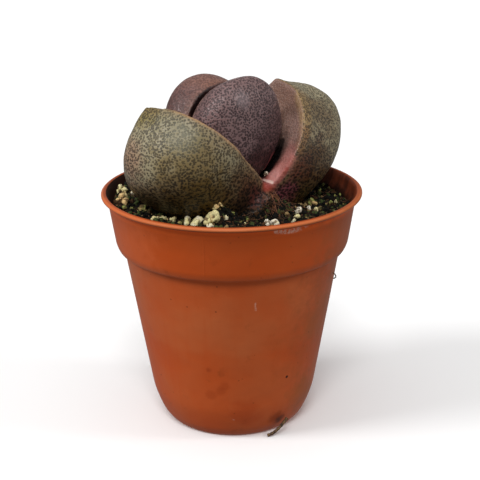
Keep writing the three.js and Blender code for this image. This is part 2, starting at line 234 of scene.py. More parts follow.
class Shading(Graph):
    """The graph of one material, which works in millimetres."""

    def __init__(self, name: str) -> None:
        """Makes a material with an empty graph.

        Args:
            name: The material's name.
        """
        self.material = bpy.data.materials.new(name)
        self.material.use_nodes = True
        super().__init__(self.material.node_tree)
        self.tree.nodes.clear()
        self.place = self.stretched(self.out(self.node("ShaderNodeTexCoord"), "Object"), (PER_METRE,) * 3)
        split = self.node("ShaderNodeSeparateXYZ", None, {"Vector": self.place})
        self.x, self.y, self.z = (self.out(split, axis) for axis in "XYZ")

    def attribute(self, name: str) -> Value:
        """A number kept on the mesh's points."""
        settings = {"attribute_type": "GEOMETRY", "attribute_name": name}
        return self.out(self.node("ShaderNodeAttribute", settings), "Fac")

    def cells(self, place: Value, scale: float, scatter: float = 1.0) -> Value:
        """Distance to the nearest of scattered points, so many to a unit of place."""
        inputs = {"Vector": place, "Scale": scale, "Randomness": scatter}
        return self.out(self.node("ShaderNodeTexVoronoi", {"voronoi_dimensions": "3D"}, inputs), "Distance")

    def eased(self, value: Value, low: float, high: float) -> Value:
        """Rises smoothly from 0 at low to 1 at high; low may be the larger of the two."""
        settings = {"interpolation_type": "SMOOTHSTEP", "clamp": True}
        ends = (low, high, 0.0, 1.0) if low < high else (high, low, 1.0, 0.0)
        inputs = dict(zip(("From Min", "From Max", "To Min", "To Max"), ends))
        return self.out(self.node("ShaderNodeMapRange", settings, {"Value": value, **inputs}))

    def mixed(self, share: Number, first: Value | Colour, second: Value | Colour, way: str = "MIX") -> Value:
        """Two colours mixed by a share of the second."""
        settings = {"data_type": "RGBA", "blend_type": way, "clamp_factor": True}
        inputs = {"Factor": share, "A": first, "B": second}
        return self.out(self.node("ShaderNodeMix", settings, inputs), "Result")

    def stretched(self, place: Value, scale: Point) -> Value:
        """A place with each of its axes scaled."""
        return self.out(self.node("ShaderNodeMapping", None, {"Vector": place, "Scale": scale}))

    def around(self, radius: float) -> Value:
        """The place unrolled from a round wall: millimetres round it, nothing, and the height."""
        angle = self.maths("ARCTAN2", self.x, self.y)
        return self.out(self.node("ShaderNodeCombineXYZ", None, {"X": angle * radius, "Z": self.z}))

    def near(self, centre: Point) -> Value:
        """Distance in millimetres from a point."""
        return self.measure("DISTANCE", self.place, centre)

    def beside(self, stroke: Stroke) -> Value:
        """Distance in millimetres from a straight stroke.

        Args:
            stroke: The stroke.

        Returns:
            The distance from the stroke's nearest point.
        """
        course = tuple(b - a for a, b in zip(stroke.start, stroke.end))
        arm = self.vector("SUBTRACT", self.place, stroke.start)
        along = self.measure("DOT_PRODUCT", arm, course) / sum(part * part for part in course)
        share = self.maths("MINIMUM", self.maths("MAXIMUM", along, 0.0), 1.0)
        return self.measure("DISTANCE", arm, self.scaled(course, share))

    def stroked(self, stroke: Stroke) -> Value:
        """How much of a stroke lies on each place."""
        return self.eased(self.beside(stroke), stroke.width, stroke.width * 0.4) * stroke.strength

    def washed(self, under: Value, washes: tuple[Wash, ...]) -> Value:
        """Lays patches of other colours over a colour, their edges made ragged by noise."""
        ragged = (self.noise(self.place, 0.4, 4.0, 0.62) - 0.5) * 1.5
        for wash in washes:
            reach = self.near(wash.centre) / wash.radius + ragged
            under = self.mixed(self.eased(reach, 1.2, 0.3) * wash.strength, under, wash.tint)
        return under

    def surface(self, height: Value | None = None, **inputs: Number | Colour) -> bpy.types.Material:
        """Ends the graph in the surface shader.

        Args:
            height: The relief in millimetres, or None for a smooth surface.
            inputs: The shader's sockets, with an underscore for each space.

        Returns:
            The finished material.
        """
        sockets = {name.replace("_", " "): value for name, value in inputs.items()}
        if height is not None:
            relief = {"Height": height, "Distance": MM, "Strength": 1.0}
            sockets["Normal"] = self.out(self.node("ShaderNodeBump", None, relief))
        shader = self.node("ShaderNodeBsdfPrincipled", None, sockets)
        self.node("ShaderNodeOutputMaterial", None, {"Surface": self.out(shader)})
        return self.material


class Growth(Graph):
    """A geometry graph that strews many small pieces over a surface."""

    def __init__(self, name: str, *sizes: str) -> None:
        """Makes a geometry tree with named inputs and one output.

        Args:
            name: The tree's name.
            sizes: Names of the inputs that are sizes.
        """
        super().__init__(bpy.data.node_groups.new(name, "GeometryNodeTree"))
        kinds = {"Surface": "Geometry", "Pieces per area": "Float", **dict.fromkeys(sizes, "Float"),
                 "Seed": "Int", "Finish": "Material"}
        self.given: dict[str, str] = {}
        for title, kind in kinds.items():
            socket_type = "NodeSocket" + kind
            item = self.tree.interface.new_socket(name=title, in_out="INPUT", socket_type=socket_type)
            self.given[title] = item.identifier
        self.tree.interface.new_socket(name="Pieces", in_out="OUTPUT", socket_type="NodeSocketGeometry")
        self.group_input = self.node("NodeGroupInput")

    def take(self, name: str) -> Value:
        """A named input of the tree."""
        return self.out(self.group_input, name)

    def drawn(self, low: Number | Point, high: Number | Point, seed: int, kind: str = "FLOAT") -> Value:
        """A random value for each point or instance."""
        inputs = {"Min": low, "Max": high, "Seed": seed}
        return self.out(self.node("FunctionNodeRandomValue", {"data_type": kind}, inputs), "Value")

    def strewn(self, layer: str) -> Value:
        """Random points on the surface, dense where one of its attributes is high."""
        named = self.node("GeometryNodeInputNamedAttribute", {"data_type": "FLOAT"}, {"Name": layer})
        density = self.out(named, "Attribute") * self.take("Pieces per area")
        inputs = {"Mesh": self.take("Surface"), "Density": density, "Seed": self.take("Seed")}
        settings = {"distribute_method": "RANDOM"}
        return self.out(self.node("GeometryNodeDistributePointsOnFaces", settings, inputs), "Points")

    def copied(self, points: Value, piece: Value, turn: Value, size: Value) -> Value:
        """A copy of a piece on each point, turned and scaled."""
        inputs = {"Points": points, "Instance": piece, "Rotation": turn, "Scale": size}
        return self.out(self.node("GeometryNodeInstanceOnPoints", None, inputs))

    def wandering(self, copies: Value, scale: float, reach: Number) -> Value:
        """Makes copies real and moves their points by cloudy noise, so that no two stay alike.

        Args:
            copies: The instances.
            scale: How many clouds there are in a metre.
            reach: How far the points go, in metres.

        Returns:
            The real geometry.
        """
        real = self.node("GeometryNodeRealizeInstances", None, {"Geometry": copies})
        position = self.out(self.node("GeometryNodeInputPosition"))
        texture = {"Vector": position, "Scale": scale, "Detail": 2.0}
        cloud = self.out(self.node("ShaderNodeTexNoise", None, texture), "Color")
        offset = self.scaled(self.vector("SUBTRACT", cloud, (0.5, 0.5, 0.5)), reach)
        inputs = {"Geometry": self.out(real), "Offset": offset}
        return self.out(self.node("GeometryNodeSetPosition", None, inputs))

    def finish(self, geometry: Value, smooth: bool) -> None:
        """Ends the tree in real geometry with its material."""
        shaded = self.node("GeometryNodeSetShadeSmooth", None, {0: geometry, "Shade Smooth": smooth})
        inputs = {"Geometry": self.out(shaded), "Material": self.take("Finish")}
        painted = self.node("GeometryNodeSetMaterial", None, inputs)
        self.node("NodeGroupOutput", None, {"Pieces": self.out(painted)})

    def grow(self, surface: bpy.types.Object, name: str, values: dict) -> bpy.types.Object:
        """Runs the tree on a surface and keeps what it makes as a plain mesh.

        Args:
            surface: The object whose mesh the tree reads; it isn't changed.
            name: The new piece's name.
            values: The tree's inputs by name.

        Returns:
            The new object.
        """
        carrier = new_object(name + "_carrier", surface.data.copy())
        modifier = carrier.modifiers.new("growth", "NODES")
        modifier.node_group = self.tree
        for key, value in values.items():
            modifier[self.given[key]] = value
        return plain_copy(carrier, name)


# Meshes


def new_object(name: str, data: bpy.types.ID) -> bpy.types.Object:
    """Makes an object and links it to the scene."""
    made = bpy.data.objects.new(name, data)
    bpy.context.scene.collection.objects.link(made)
    return made


def plain_copy(carrier: bpy.types.Object, name: str) -> bpy.types.Object:
    """Turns an object with modifiers into one with a plain mesh.

    Args:
        carrier: The object with modifiers, which is removed.
        name: The new object's name.

    Returns:
        The new object.
    """
    bpy.context.view_layer.update()
    evaluated = carrier.evaluated_get(bpy.context.evaluated_depsgraph_get())
    mesh = bpy.data.meshes.new_from_object(evaluated)
    mesh.name = name
    bpy.data.objects.remove(carrier)
    return new_object(name, mesh)


def mesh_object(name: str, points: np.ndarray, faces: list) -> bpy.types.Object:
    """Makes a smooth object from points in millimetres.

    Args:
        name: The object's name.
        points: One row for each point.
        faces: Lists of point numbers, turned so that their front is outside.

    Returns:
        The object, with its mesh in metres.
    """
    mesh = bpy.data.meshes.new(name)
    mesh.from_pydata((np.asarray(points) * MM).tolist(), [], faces)
    mesh.validate()
    mesh.shade_smooth()
    return new_object(name, mesh)


def points_of(mesh: bpy.types.Mesh) -> np.ndarray:
    """A mesh's points in millimetres."""
    flat = np.zeros(len(mesh.vertices) * 3)
    mesh.vertices.foreach_get("co", flat)
    return flat.reshape(-1, 3) * PER_METRE


def normals_of(mesh: bpy.types.Mesh) -> np.ndarray:
    """A mesh's outward directions at its points."""
    flat = np.zeros(len(mesh.vertices) * 3)
    mesh.vertex_normals.foreach_get("vector", flat)
    return flat.reshape(-1, 3)


def set_points(mesh: bpy.types.Mesh, points: np.ndarray) -> None:
    """Moves a mesh's points to places in millimetres."""
    mesh.vertices.foreach_set("co", (points * MM).ravel())
    mesh.update()


def set_attribute(mesh: bpy.types.Mesh, name: str, values: np.ndarray) -> None:
    """Keeps a number on each of a mesh's points."""
    layer = mesh.attributes.new(name, "FLOAT", "POINT")
    layer.data.foreach_set("value", values.astype(np.float32))


def tree_of(mesh: bpy.types.Mesh) -> BVHTree:
    """A search tree of a mesh, in metres."""
    shape = bmesh.new()
    shape.from_mesh(mesh)
    tree = BVHTree.FromBMesh(shape)
    shape.free()
    return tree


def relax(
    points: np.ndarray, edges: np.ndarray, rounds: int, weights: np.ndarray | float = 0.5
) -> np.ndarray:
    """Draws points towards the middle of their neighbours.

    Args:
        points: One row for each point.
        edges: Pairs of point numbers.
        rounds: How many times they all move.
        weights: How far a point goes each round, from 0 to 1, for each point or for all.

    Returns:
        The moved points.
    """
    starts = np.concatenate([edges[:, 0], edges[:, 1]])
    ends = np.concatenate([edges[:, 1], edges[:, 0]])
    count = len(points)
    neighbours = np.maximum(np.bincount(starts, minlength=count), 1)
    share = np.broadcast_to(np.asarray(weights, float), (count,))[:, None]
    for _ in range(rounds):
        sums = [np.bincount(starts, points[ends, axis], minlength=count) for axis in range(3)]
        points = points + share * (np.stack(sums, axis=1) / neighbours[:, None] - points)
    return points


def edges_of(mesh: bpy.types.Mesh) -> np.ndarray:
    """A mesh's edges as pairs of point numbers."""
    flat = np.zeros(len(mesh.edges) * 2, np.int64)
    mesh.edges.foreach_get("vertices", flat)
    return flat.reshape(-1, 2)


def voxel_skin(name: str, solids: list[bpy.types.Object], voxel: float) -> bpy.types.Object:
    """Joins overlapping solids in one even skin.

    Args:
        name: The new object's name.
        solids: The solids, which are removed.
        voxel: The size of the skin's grid in millimetres.

    Returns:
        The object.
    """
    shape = bmesh.new()
    for solid in solids:
        shape.from_mesh(solid.data)
        bpy.data.objects.remove(solid)
    mesh = bpy.data.meshes.new(name)
    shape.to_mesh(mesh)
    shape.free()
    carrier = new_object(name + "_carrier", mesh)
    modifier = carrier.modifiers.new("skin", "REMESH")
    modifier.mode = "VOXEL"
    modifier.voxel_size = voxel * MM
    modifier.use_smooth_shade = True
    return plain_copy(carrier, name)


def curve_through(points: np.ndarray, steps: int, closed: bool) -> np.ndarray:
    """Points along a smooth curve through given ones.

    Args:
        points: The given points, one row for each.
        steps: How many points stand for each span.
        closed: Whether the curve comes back to its first point.

    Returns:
        The curve's points, the last given one left out where the curve is closed.
    """
    points = np.asarray(points, float)
    if closed:
        before, after = np.roll(points, 1, axis=0), np.roll(points, -1, axis=0)
        beyond = np.roll(points, -2, axis=0)
        here = points
    else:
        padded = np.vstack([2 * points[0] - points[1], points, 2 * points[-1] - points[-2]])
        before, here, after, beyond = padded[:-3], padded[1:-2], padded[2:-1], padded[3:]
    t = (np.arange(steps) / steps)[None, :, None]
    p0, p1, p2, p3 = (p[:, None, :] for p in (before, here, after, beyond))
    spans = 0.5 * (
        2 * p1 + (p2 - p0) * t + (2 * p0 - 5 * p1 + 4 * p2 - p3) * t**2 + (3 * p1 - p0 - 3 * p2 + p3) * t**3
    )
    curve = spans.reshape(-1, points.shape[1])
    return curve if closed else np.vstack([curve, points[-1]])


def filleted(corners: list[tuple[float, float, float]], steps: int = 6) -> np.ndarray:
    """Rounds the corners of an outline of radii and heights.

    Args:
        corners: Radius, height and fillet size of each corner.
        steps: How many points stand for each rounding.

    Returns:
        The outline's points.
    """
    made = []
    for number, (radius, height, fillet) in enumerate(corners):
        here = np.array([radius, height])
        if fillet <= 0:
            made.append(here)
            continue
        before = np.array(corners[number - 1][:2]) - here
        after = np.array(corners[number + 1][:2]) - here
        reach = min(fillet, 0.45 * np.linalg.norm(before), 0.45 * np.linalg.norm(after))
        start = here + before / np.linalg.norm(before) * reach
        end = here + after / np.linalg.norm(after) * reach
        for step in range(steps + 1):
            t = step / steps
            made.append((1 - t) ** 2 * start + 2 * t * (1 - t) * here + t**2 * end)
    return np.array(made)


def quad(ring: int, side: int, sides: int) -> tuple[int, int, int, int]:
    """The face between a ring of points and the ring above it, at one side of them."""
    here, above, following = ring * sides, (ring + 1) * sides, (side + 1) % sides
    return here + side, here + following, above + following, above + side


def stacked_faces(rings: int, sides: int) -> list[tuple[int, ...]]:
    """Faces over stacked rings of points, closed by a middle point at each end.

    Args:
        rings: How many rings there are, from the first middle point to the last.
        sides: How many points each has.

    Returns:
        The faces, where the middle points come after the rings.
    """
    first, top = rings * sides, (rings - 1) * sides
    faces = []
    for side in range(sides):
        following = (side + 1) % sides
        faces.append((first, following, side))
        faces += [quad(ring, side, sides) for ring in range(rings - 1)]
        faces.append((top + side, top + following, first + 1))
    return faces


def joined(parts: list[tuple[np.ndarray, list]]) -> tuple[np.ndarray, list]:
    """Joins the points and faces of several meshes."""
    faces, shift = [], 0
    for points, part_faces in parts:
        faces += [tuple(corner + shift for corner in face) for face in part_faces]
        shift += len(points)
    return np.vstack([points for points, _ in parts]), faces


def turned(outline: np.ndarray, segments: int) -> tuple[np.ndarray, list]:
    """Turns an outline that starts and ends on the axis, counter-clockwise seen with the axis at the left.

    Args:
        outline: Rows of radius and height.
        segments: How many sides the round has.

    Returns:
        The points and the faces.
    """
    angles = angles_round(segments)
    rings = [
        np.stack([r * np.cos(angles), r * np.sin(angles), np.full(segments, z)], axis=1)
        for r, z in outline[1:-1]
    ]
    points = np.vstack([*rings, [[0, 0, outline[0][1]], [0, 0, outline[-1][1]]]])
    return points, stacked_faces(len(rings), segments)


def tube(path: np.ndarray, radii: np.ndarray, sides: int = 6) -> tuple[np.ndarray, list]:
    """A closed tube along a path.

    Args:
        path: The path's points.
        radii: The tube's radius at each of them.
        sides: How many sides the tube has.

    Returns:
        The points and the faces.
    """
    ahead = np.gradient(path, axis=0)
    ahead /= np.linalg.norm(ahead, axis=1, keepdims=True)
    side = np.cross(ahead, (0.0, 0.0, 1.0)) + 1e-6
    side /= np.linalg.norm(side, axis=1, keepdims=True)
    up = np.cross(side, ahead)
    angles = angles_round(sides)
    cosines, sines = np.cos(angles)[None, :, None], np.sin(angles)[None, :, None]
    spokes = side[:, None, :] * cosines + up[:, None, :] * sines
    points = (path[:, None, :] + radii[:, None, None] * spokes).reshape(-1, 3)
    faces = []
    for ring in range(len(path) - 1):
        for corner in range(sides):
            following = (corner + 1) % sides
            here, above = ring * sides, (ring + 1) * sides
            faces.append((here + corner, above + corner, above + following, here + following))
    faces.append(tuple(range(sides)))
    faces.append(tuple(reversed(range(len(points) - sides, len(points)))))
    return points, faces


# Finishes


@dataclass(frozen=True)
class PotPlastic:
    """Terracotta-coloured satin plastic with dust, smudges, scuffs, specks, and painted light and shade round
    the lip and on its sides.
    """

    body: Colour = colour(193, 85, 36)
    deep: Colour = colour(188, 70, 15)
    dusty: Colour = colour(193, 98, 52)
    collar: Colour = colour(186, 74, 18)
    # Painted light: a lighter band just under the lip, lifting the shade there.
    painted_light_under_lip: Colour = colour(240, 104, 36)
    # The lip's colour, darkened by painted shade on its top and inner side.
    lip: Colour = colour(128, 60, 30)
    # A painted highlight along the lip's outer top edge.
    painted_lip_highlight: Colour = colour(200, 110, 62)
    # Smudges, and painted shade in a band on the collar below the lip.
    smudge_and_shade: Colour = colour(122, 56, 18)
    scuff: Colour = colour(238, 206, 188)
    # The inner wall's colour, darkened by painted shade as well as stain.
    inner: Colour = colour(136, 62, 34)
    dirt_and_shade: Colour = colour(34, 14, 7)
    speck: Colour = colour(46, 20, 10)
    roughness: float = 0.36
    shine: float = 0.17
    mean_radius: float = 22.0
    tide_height: float = 21.5

    def material(self, marks: "PotMarks") -> bpy.types.Material:
        """Builds the material.

        Args:
            marks: Places of the pot's own marks.

        Returns:
            The material.
        """
        make = Shading("pot_plastic")
        broad = make.noise(make.place, scale=0.07, detail=3.0)
        upright = make.stretched(make.around(self.mean_radius), (0.5, 1.0, 0.05))
        streaks = make.noise(upright, scale=1.0, detail=4.0, roughness=0.6)
        below = make.eased(make.z + broad * 4.0, self.tide_height + 3.0, self.tide_height + 0.6)
        tint = make.mixed(make.eased(broad, 0.3, 0.7), self.body, self.dusty)
        tint = make.mixed(below * 0.3 + make.eased(streaks, 0.45, 0.75) * 0.15, tint, self.deep)
        for shade, foot, full, strength in (
            (self.collar, 38.8, 40.5, 0.7),
            # Painted shade: a darker band on the collar, below the lip's shadow.
            (self.smudge_and_shade, 43.5, 47.0, 0.2),
            # Painted light in a band just under the lip.
            (self.painted_light_under_lip, 47.9, 49.6, 0.85),
            # The lip: its colour, darkened by painted shade.
            (self.lip, LIP_FOOT - 0.1, LIP_FOOT + 0.15, 0.85),
        ):
            tint = make.mixed(make.eased(make.z, foot, full) * strength, tint, shade)
        # A painted highlight along the outer top edge of the lip.
        radius = (make.x * make.x + make.y * make.y) ** 0.5
        outermost = make.eased(radius, RIM_RADIUS - 0.55, RIM_RADIUS - 0.28)
        edge = outermost * make.eased(make.z, LIP_FOOT + 0.1, LIP_FOOT + 0.5)
        tint = make.mixed(edge * 0.75, tint, self.painted_lip_highlight)
        patches = make.eased(make.noise(make.place, scale=0.22, detail=4.0, roughness=0.65), 0.6, 0.78)
        tint = make.mixed(patches * 0.3, tint, self.smudge_and_shade)
        tint = make.washed(tint, marks.washes)
        tint = make.mixed(make.eased(make.cells(make.place, 0.33), 0.075, 0.045) * 0.45, tint, self.smudge_and_shade)
        rubbed = make.eased(make.noise(make.place, scale=1.6, detail=3.0, roughness=0.7), 0.38, 0.58)
        scuffs = make.largest(*(make.stroked(mark) for mark in marks.scuffs)) * rubbed
        tint = make.mixed(scuffs * 0.8, tint, self.scuff)
        for spot, radius in marks.specks:
            share = make.eased(make.near(spot), radius * 1.15, radius * 0.6) * min(1.0, radius * 2.4)
            tint = make.mixed(share, tint, self.speck)
        # The inner wall: stain, clinging soil and painted shade.
        tint, soil_and_shade = self._inner_wall(make, tint, streaks)
        fine = make.noise(make.place, scale=3.0, detail=3.0, roughness=0.6)
        rough = self.roughness + (fine - 0.5) * 0.16 + streaks * 0.08 + scuffs * 0.3 + soil_and_shade * 0.3
        across = make.eased(abs(make.x - marks.seam_x), 0.22, 0.05)
        seam = across * make.eased(make.y, 0.0, -1.0) * make.eased(make.z, 39.5, 40.5)
        relief = fine * 0.012 + broad * 0.5 + seam * 0.03 - scuffs * 0.03
        return make.surface(relief, Base_Color=tint, Roughness=rough, Specular_IOR_Level=self.shine)

    def _inner_wall(self, make: Shading, tint: Value, streaks: Value) -> tuple[Value, Value]:
        """The inner wall, darker with stain and painted shade, and how much soil clings to it.

        Args:
            make: The material's graph.
            tint: The plastic's colour.
            streaks: Upright streaks, from 0 to 1.

        Returns:
            The colour with the inner wall's, and where the soil clings and painted shade darkens the left
            side.
        """
        inside = make.eased(make.attribute("inside"), 0.1, 0.4)
        stain = make.mixed(make.eased(streaks, 0.4, 0.68) * 0.7, self.inner, self.dirt_and_shade)
        tint = make.mixed(inside, tint, stain)
        soil_and_shade = make.eased(make.z + make.noise(make.place, 0.5, 3.0) * 4.0, 52.0, 48.6)
        # Painted shade darkens the inner wall's left side, along with the clinging soil.
        soil_and_left_shade = inside * make.largest(soil_and_shade, make.eased(make.x, -17.0, -23.0))
        return make.mixed(soil_and_left_shade * 0.95, tint, self.dirt_and_shade), soil_and_left_shade


@dataclass(frozen=True)
class LeafSkin:
    """Waxy skin with a dense dark speckle, which changes over the leaf.

    The speckle multiplies the skin's colour by dots on the back and by face_dots on the face. Washes,
    face_washes and bands lie under it; painted highlights lie over it, then painted shadow, painted light and
    coloured strokes.
    """

    name: str
    upper: Colour
    lower: Colour
    face: Colour
    # The face's colour deep in the cleft, darkened by painted shade.
    face_low_shaded: Colour
    margin: Colour
    rim: Colour
    dots: Colour
    face_dots: Colour
    blush: Colour = colour(172, 104, 96)
    washes: tuple[Wash, ...] = ()
    face_washes: tuple[Wash, ...] = ()
    bands: tuple[tuple[Colour, Stroke], ...] = ()
    painted_light_shade_and_marks: tuple[tuple[Colour, Stroke], ...] = ()
    painted_highlights_and_pink: tuple[Wash, ...] = ()
    notch: Colour = colour(172, 70, 58)
    low_height: float = 48.0
    high_height: float = 63.0
    dot_scale: float = 2.1
    dot_scatter: float = 0.85
    ink: float = 0.82
    low_ink: float = 1.15
    face_ink: float = 0.5
    rim_centre: Point = (-1.5, -15.5, 65.0)
    rim_reach: float = 14.0
    rim_strength: float = 0.75
    margin_strength: float = 0.45
    blush_strength: float = 0.9
    notch_strength: float = 0.75
    roughness: float = 0.34
    shine: float = 0.4
    glow: float = 0.05
    glow_reach: Point = (0.0012, 0.0006, 0.0004)

    def material(self) -> bpy.types.Material:
        """Builds the material from the attributes that a leaf keeps on its points."""
        make = Shading(self.name)
        on_face = make.attribute("face")
        edge = make.attribute("margin")
        near_notch = make.attribute("notch")
        broad = make.noise(make.place, scale=0.16, detail=3.0, roughness=0.55)
        height = make.eased(make.z + (broad - 0.5) * 8.0, self.low_height, self.high_height)
        back = make.mixed(height, self.lower, self.upper)
        back = make.washed(back, self.washes)
        near_margin = make.eased(edge + (broad - 0.5) * 3.0, 3.0, 0.4)
        back = make.mixed(near_margin * self.margin_strength, back, self.margin)
        deep = make.attribute("depth")
        # Deep in the cleft the face darkens: its colour with painted shade.
        front = make.mixed(deep, self.face, self.face_low_shaded)
        front = make.washed(front, self.face_washes)
        blushing = make.eased(edge + (broad - 0.5) * 2.0, 4.8, 2.6) * make.eased(deep, 0.25, 0.9)
        front = make.mixed(blushing * self.blush_strength, front, self.blush)
        skin = make.mixed(on_face, back, front)
        for tint, band in self.bands:
            skin = make.mixed(make.stroked(band), skin, tint)
        speckle = self._speckle(make, height)
        back_ink = self.ink + (1.0 - height) * (self.low_ink - self.ink)
        strength = back_ink + on_face * (self.face_ink - back_ink)
        clouds = make.noise(make.place, scale=0.3, detail=3.0, roughness=0.6)
        patchy = make.eased(clouds, 0.25, 0.7) * 0.25 + 0.8
        plain = 1.0 - make.eased(near_notch, 0.2, 0.8) * 0.8
        ink = make.mixed(on_face, self.dots, self.face_dots)
        skin = make.mixed(speckle * strength * patchy * plain, skin, ink, "MULTIPLY")
        rim = make.eased(edge + (broad - 0.5) * 0.8, 0.95, 0.35) * self.rim_strength
        rim = rim * make.eased(make.near(self.rim_centre), self.rim_reach, self.rim_reach * 0.6)
        skin = make.mixed(rim, skin, self.rim)
        skin = make.mixed(make.eased(near_notch, 0.2, 0.9) * self.notch_strength, skin, self.notch)
        # Painted highlights, and the pink skin by the notch lightened with them.
        skin = make.washed(skin, self.painted_highlights_and_pink)
        # Painted shadow, painted light and painted glints, with coloured strokes, over everything else.
        for tint, overlay in self.painted_light_shade_and_marks:
            skin = make.mixed(make.stroked(overlay), skin, tint)
        grain = make.noise(make.place, scale=5.0, detail=2.0, roughness=0.6)
        rough = self.roughness + (grain - 0.5) * 0.3 + speckle * 0.14
        relief = grain * 0.04 - speckle * 0.04 + make.noise(make.place, 0.9, 3.0) * 0.12
        return make.surface(relief, Base_Color=skin, Roughness=rough, Specular_IOR_Level=self.shine,
                            Subsurface_Weight=self.glow, Subsurface_Radius=self.glow_reach,
                            Subsurface_Scale=1.0)

    def _speckle(self, make: Shading, height: Value) -> Value:
        """Dense dots, most of them run together in a maze, and larger low on the leaf."""
        shift = make.noise(make.place, self.dot_scale * 1.2, detail=2.0, roughness=0.6) - 0.5
        low = make.cells(make.place, self.dot_scale * 0.72, self.dot_scatter)
        small = make.cells(make.place, self.dot_scale, self.dot_scatter)
        return make.eased(low + (small - low) * height + shift * 0.45, 0.64, 0.38)


@dataclass(frozen=True)
class Peat:
    """Damp black peat with brown and greenish crumbs in it."""

    name: str = "peat"
    loose: bool = False
    black: Colour = colour(15, 13, 9)
    brown: Colour = colour(78, 52, 30)
    green: Colour = colour(66, 78, 40)
    pale: Colour = colour(150, 124, 84)
    shine: float = 0.15

    def material(self) -> bpy.types.Material:
        """Builds the material; loose crumbs carry a shade each."""
        make = Shading(self.name)
        grains = make.noise(make.place, scale=2.2, detail=4.0, roughness=0.7)
        patches = make.noise(make.place, scale=0.5, detail=4.0, roughness=0.7)
        shade = make.attribute("shade") if self.loose else make.eased(grains, 0.2, 0.85)
        tint = make.mixed(make.eased(shade, 0.5, 0.75), self.black, self.brown)
        tint = make.mixed(make.eased(shade, 0.72, 0.78) * make.eased(patches, 0.36, 0.5), tint, self.green)
        tint = make.mixed(make.eased(shade, 0.94, 0.97), tint, self.pale)
        tint = make.mixed(make.eased(grains, 0.5, 0.3) * 0.7, tint, self.black)
        rough = 0.62 + make.eased(grains, 0.35, 0.65) * 0.3
        return make.surface(grains * 0.35 + patches * 0.4, Base_Color=tint, Roughness=rough,
                            Specular_IOR_Level=self.shine)


@dataclass(frozen=True)
class PerliteGlass:
    """Cream expanded volcanic glass, stained tan and moss green in places, with painted shade between its
    knobs.
    """

    white: Colour = colour(238, 228, 206)
    cream: Colour = colour(226, 214, 156)
    tan: Colour = colour(220, 184, 126)
    moss: Colour = colour(146, 150, 80)
    # Brown of the pores, and painted shade between the knobs.
    pore_and_crevice_shade: Colour = colour(96, 72, 40)

    def material(self) -> bpy.types.Material:
        """Builds the material from each grain's stain and its painted shade between the knobs."""
        make = Shading("perlite_glass")
        stain = make.attribute("stain") + (make.noise(make.place, 0.7, 3.0) - 0.5) * 0.7
        tint = make.mixed(make.eased(stain, 0.0, 0.3), self.white, self.cream)
        tint = make.mixed(make.eased(stain, 0.35, 0.55), tint, self.tan)
        tint = make.mixed(make.eased(stain, 0.6, 0.85), tint, self.moss)
        pores = make.eased(make.cells(make.place, 2.6), 0.26, 0.12)
        # Painted shade between the knobs.
        crevice_shades = make.eased(make.attribute("crevice_shade"), 0.45, 0.95)
        tint = make.mixed(make.largest(pores * 0.5, crevice_shades * 0.85), tint, self.pore_and_crevice_shade)
        rough = 0.6 + make.noise(make.place, 3.0, 3.0) * 0.3
        relief = make.noise(make.place, 2.4, 4.0, 0.7) * 0.22 - pores * 0.12
        return make.surface(relief, Base_Color=tint, Roughness=rough, Specular_IOR_Level=0.3)


@dataclass(frozen=True)
class PlantFibre:
    """Brown fibre or bark, streaked along its length."""

    name: str
    dark: Colour
    light: Colour

    def material(self) -> bpy.types.Material:
        """Builds the material."""
        make = Shading(self.name)
        lengthways = make.stretched(make.place, (1.0, 1.0, 0.35))
        long = make.noise(lengthways, scale=1.7, detail=4.0, roughness=0.65)
        fine = make.noise(make.place, scale=5.0, detail=3.0, roughness=0.6)
        tint = make.mixed(make.eased(long, 0.38, 0.62), self.dark, self.light)
        relief = fine * 0.08 + long * 0.15
        return make.surface(relief, Base_Color=tint, Roughness=0.62 + fine * 0.3)


@dataclass(frozen=True)
class PaleFloor:
    """A seamless pale sheet."""

    sheet: Colour = (0.93, 0.93, 0.93, 1.0)
    shadow: Colour = (0.8, 0.8, 0.8, 1.0)

    def material(self) -> bpy.types.Material:
        """Builds the material."""
        make = Shading("pale_floor")
        tint = make.mixed(make.noise(make.place, 0.01, 2.0) * 0.06, self.sheet, self.shadow)
        return make.surface(None, Base_Color=tint, Roughness=0.8)


# The pot


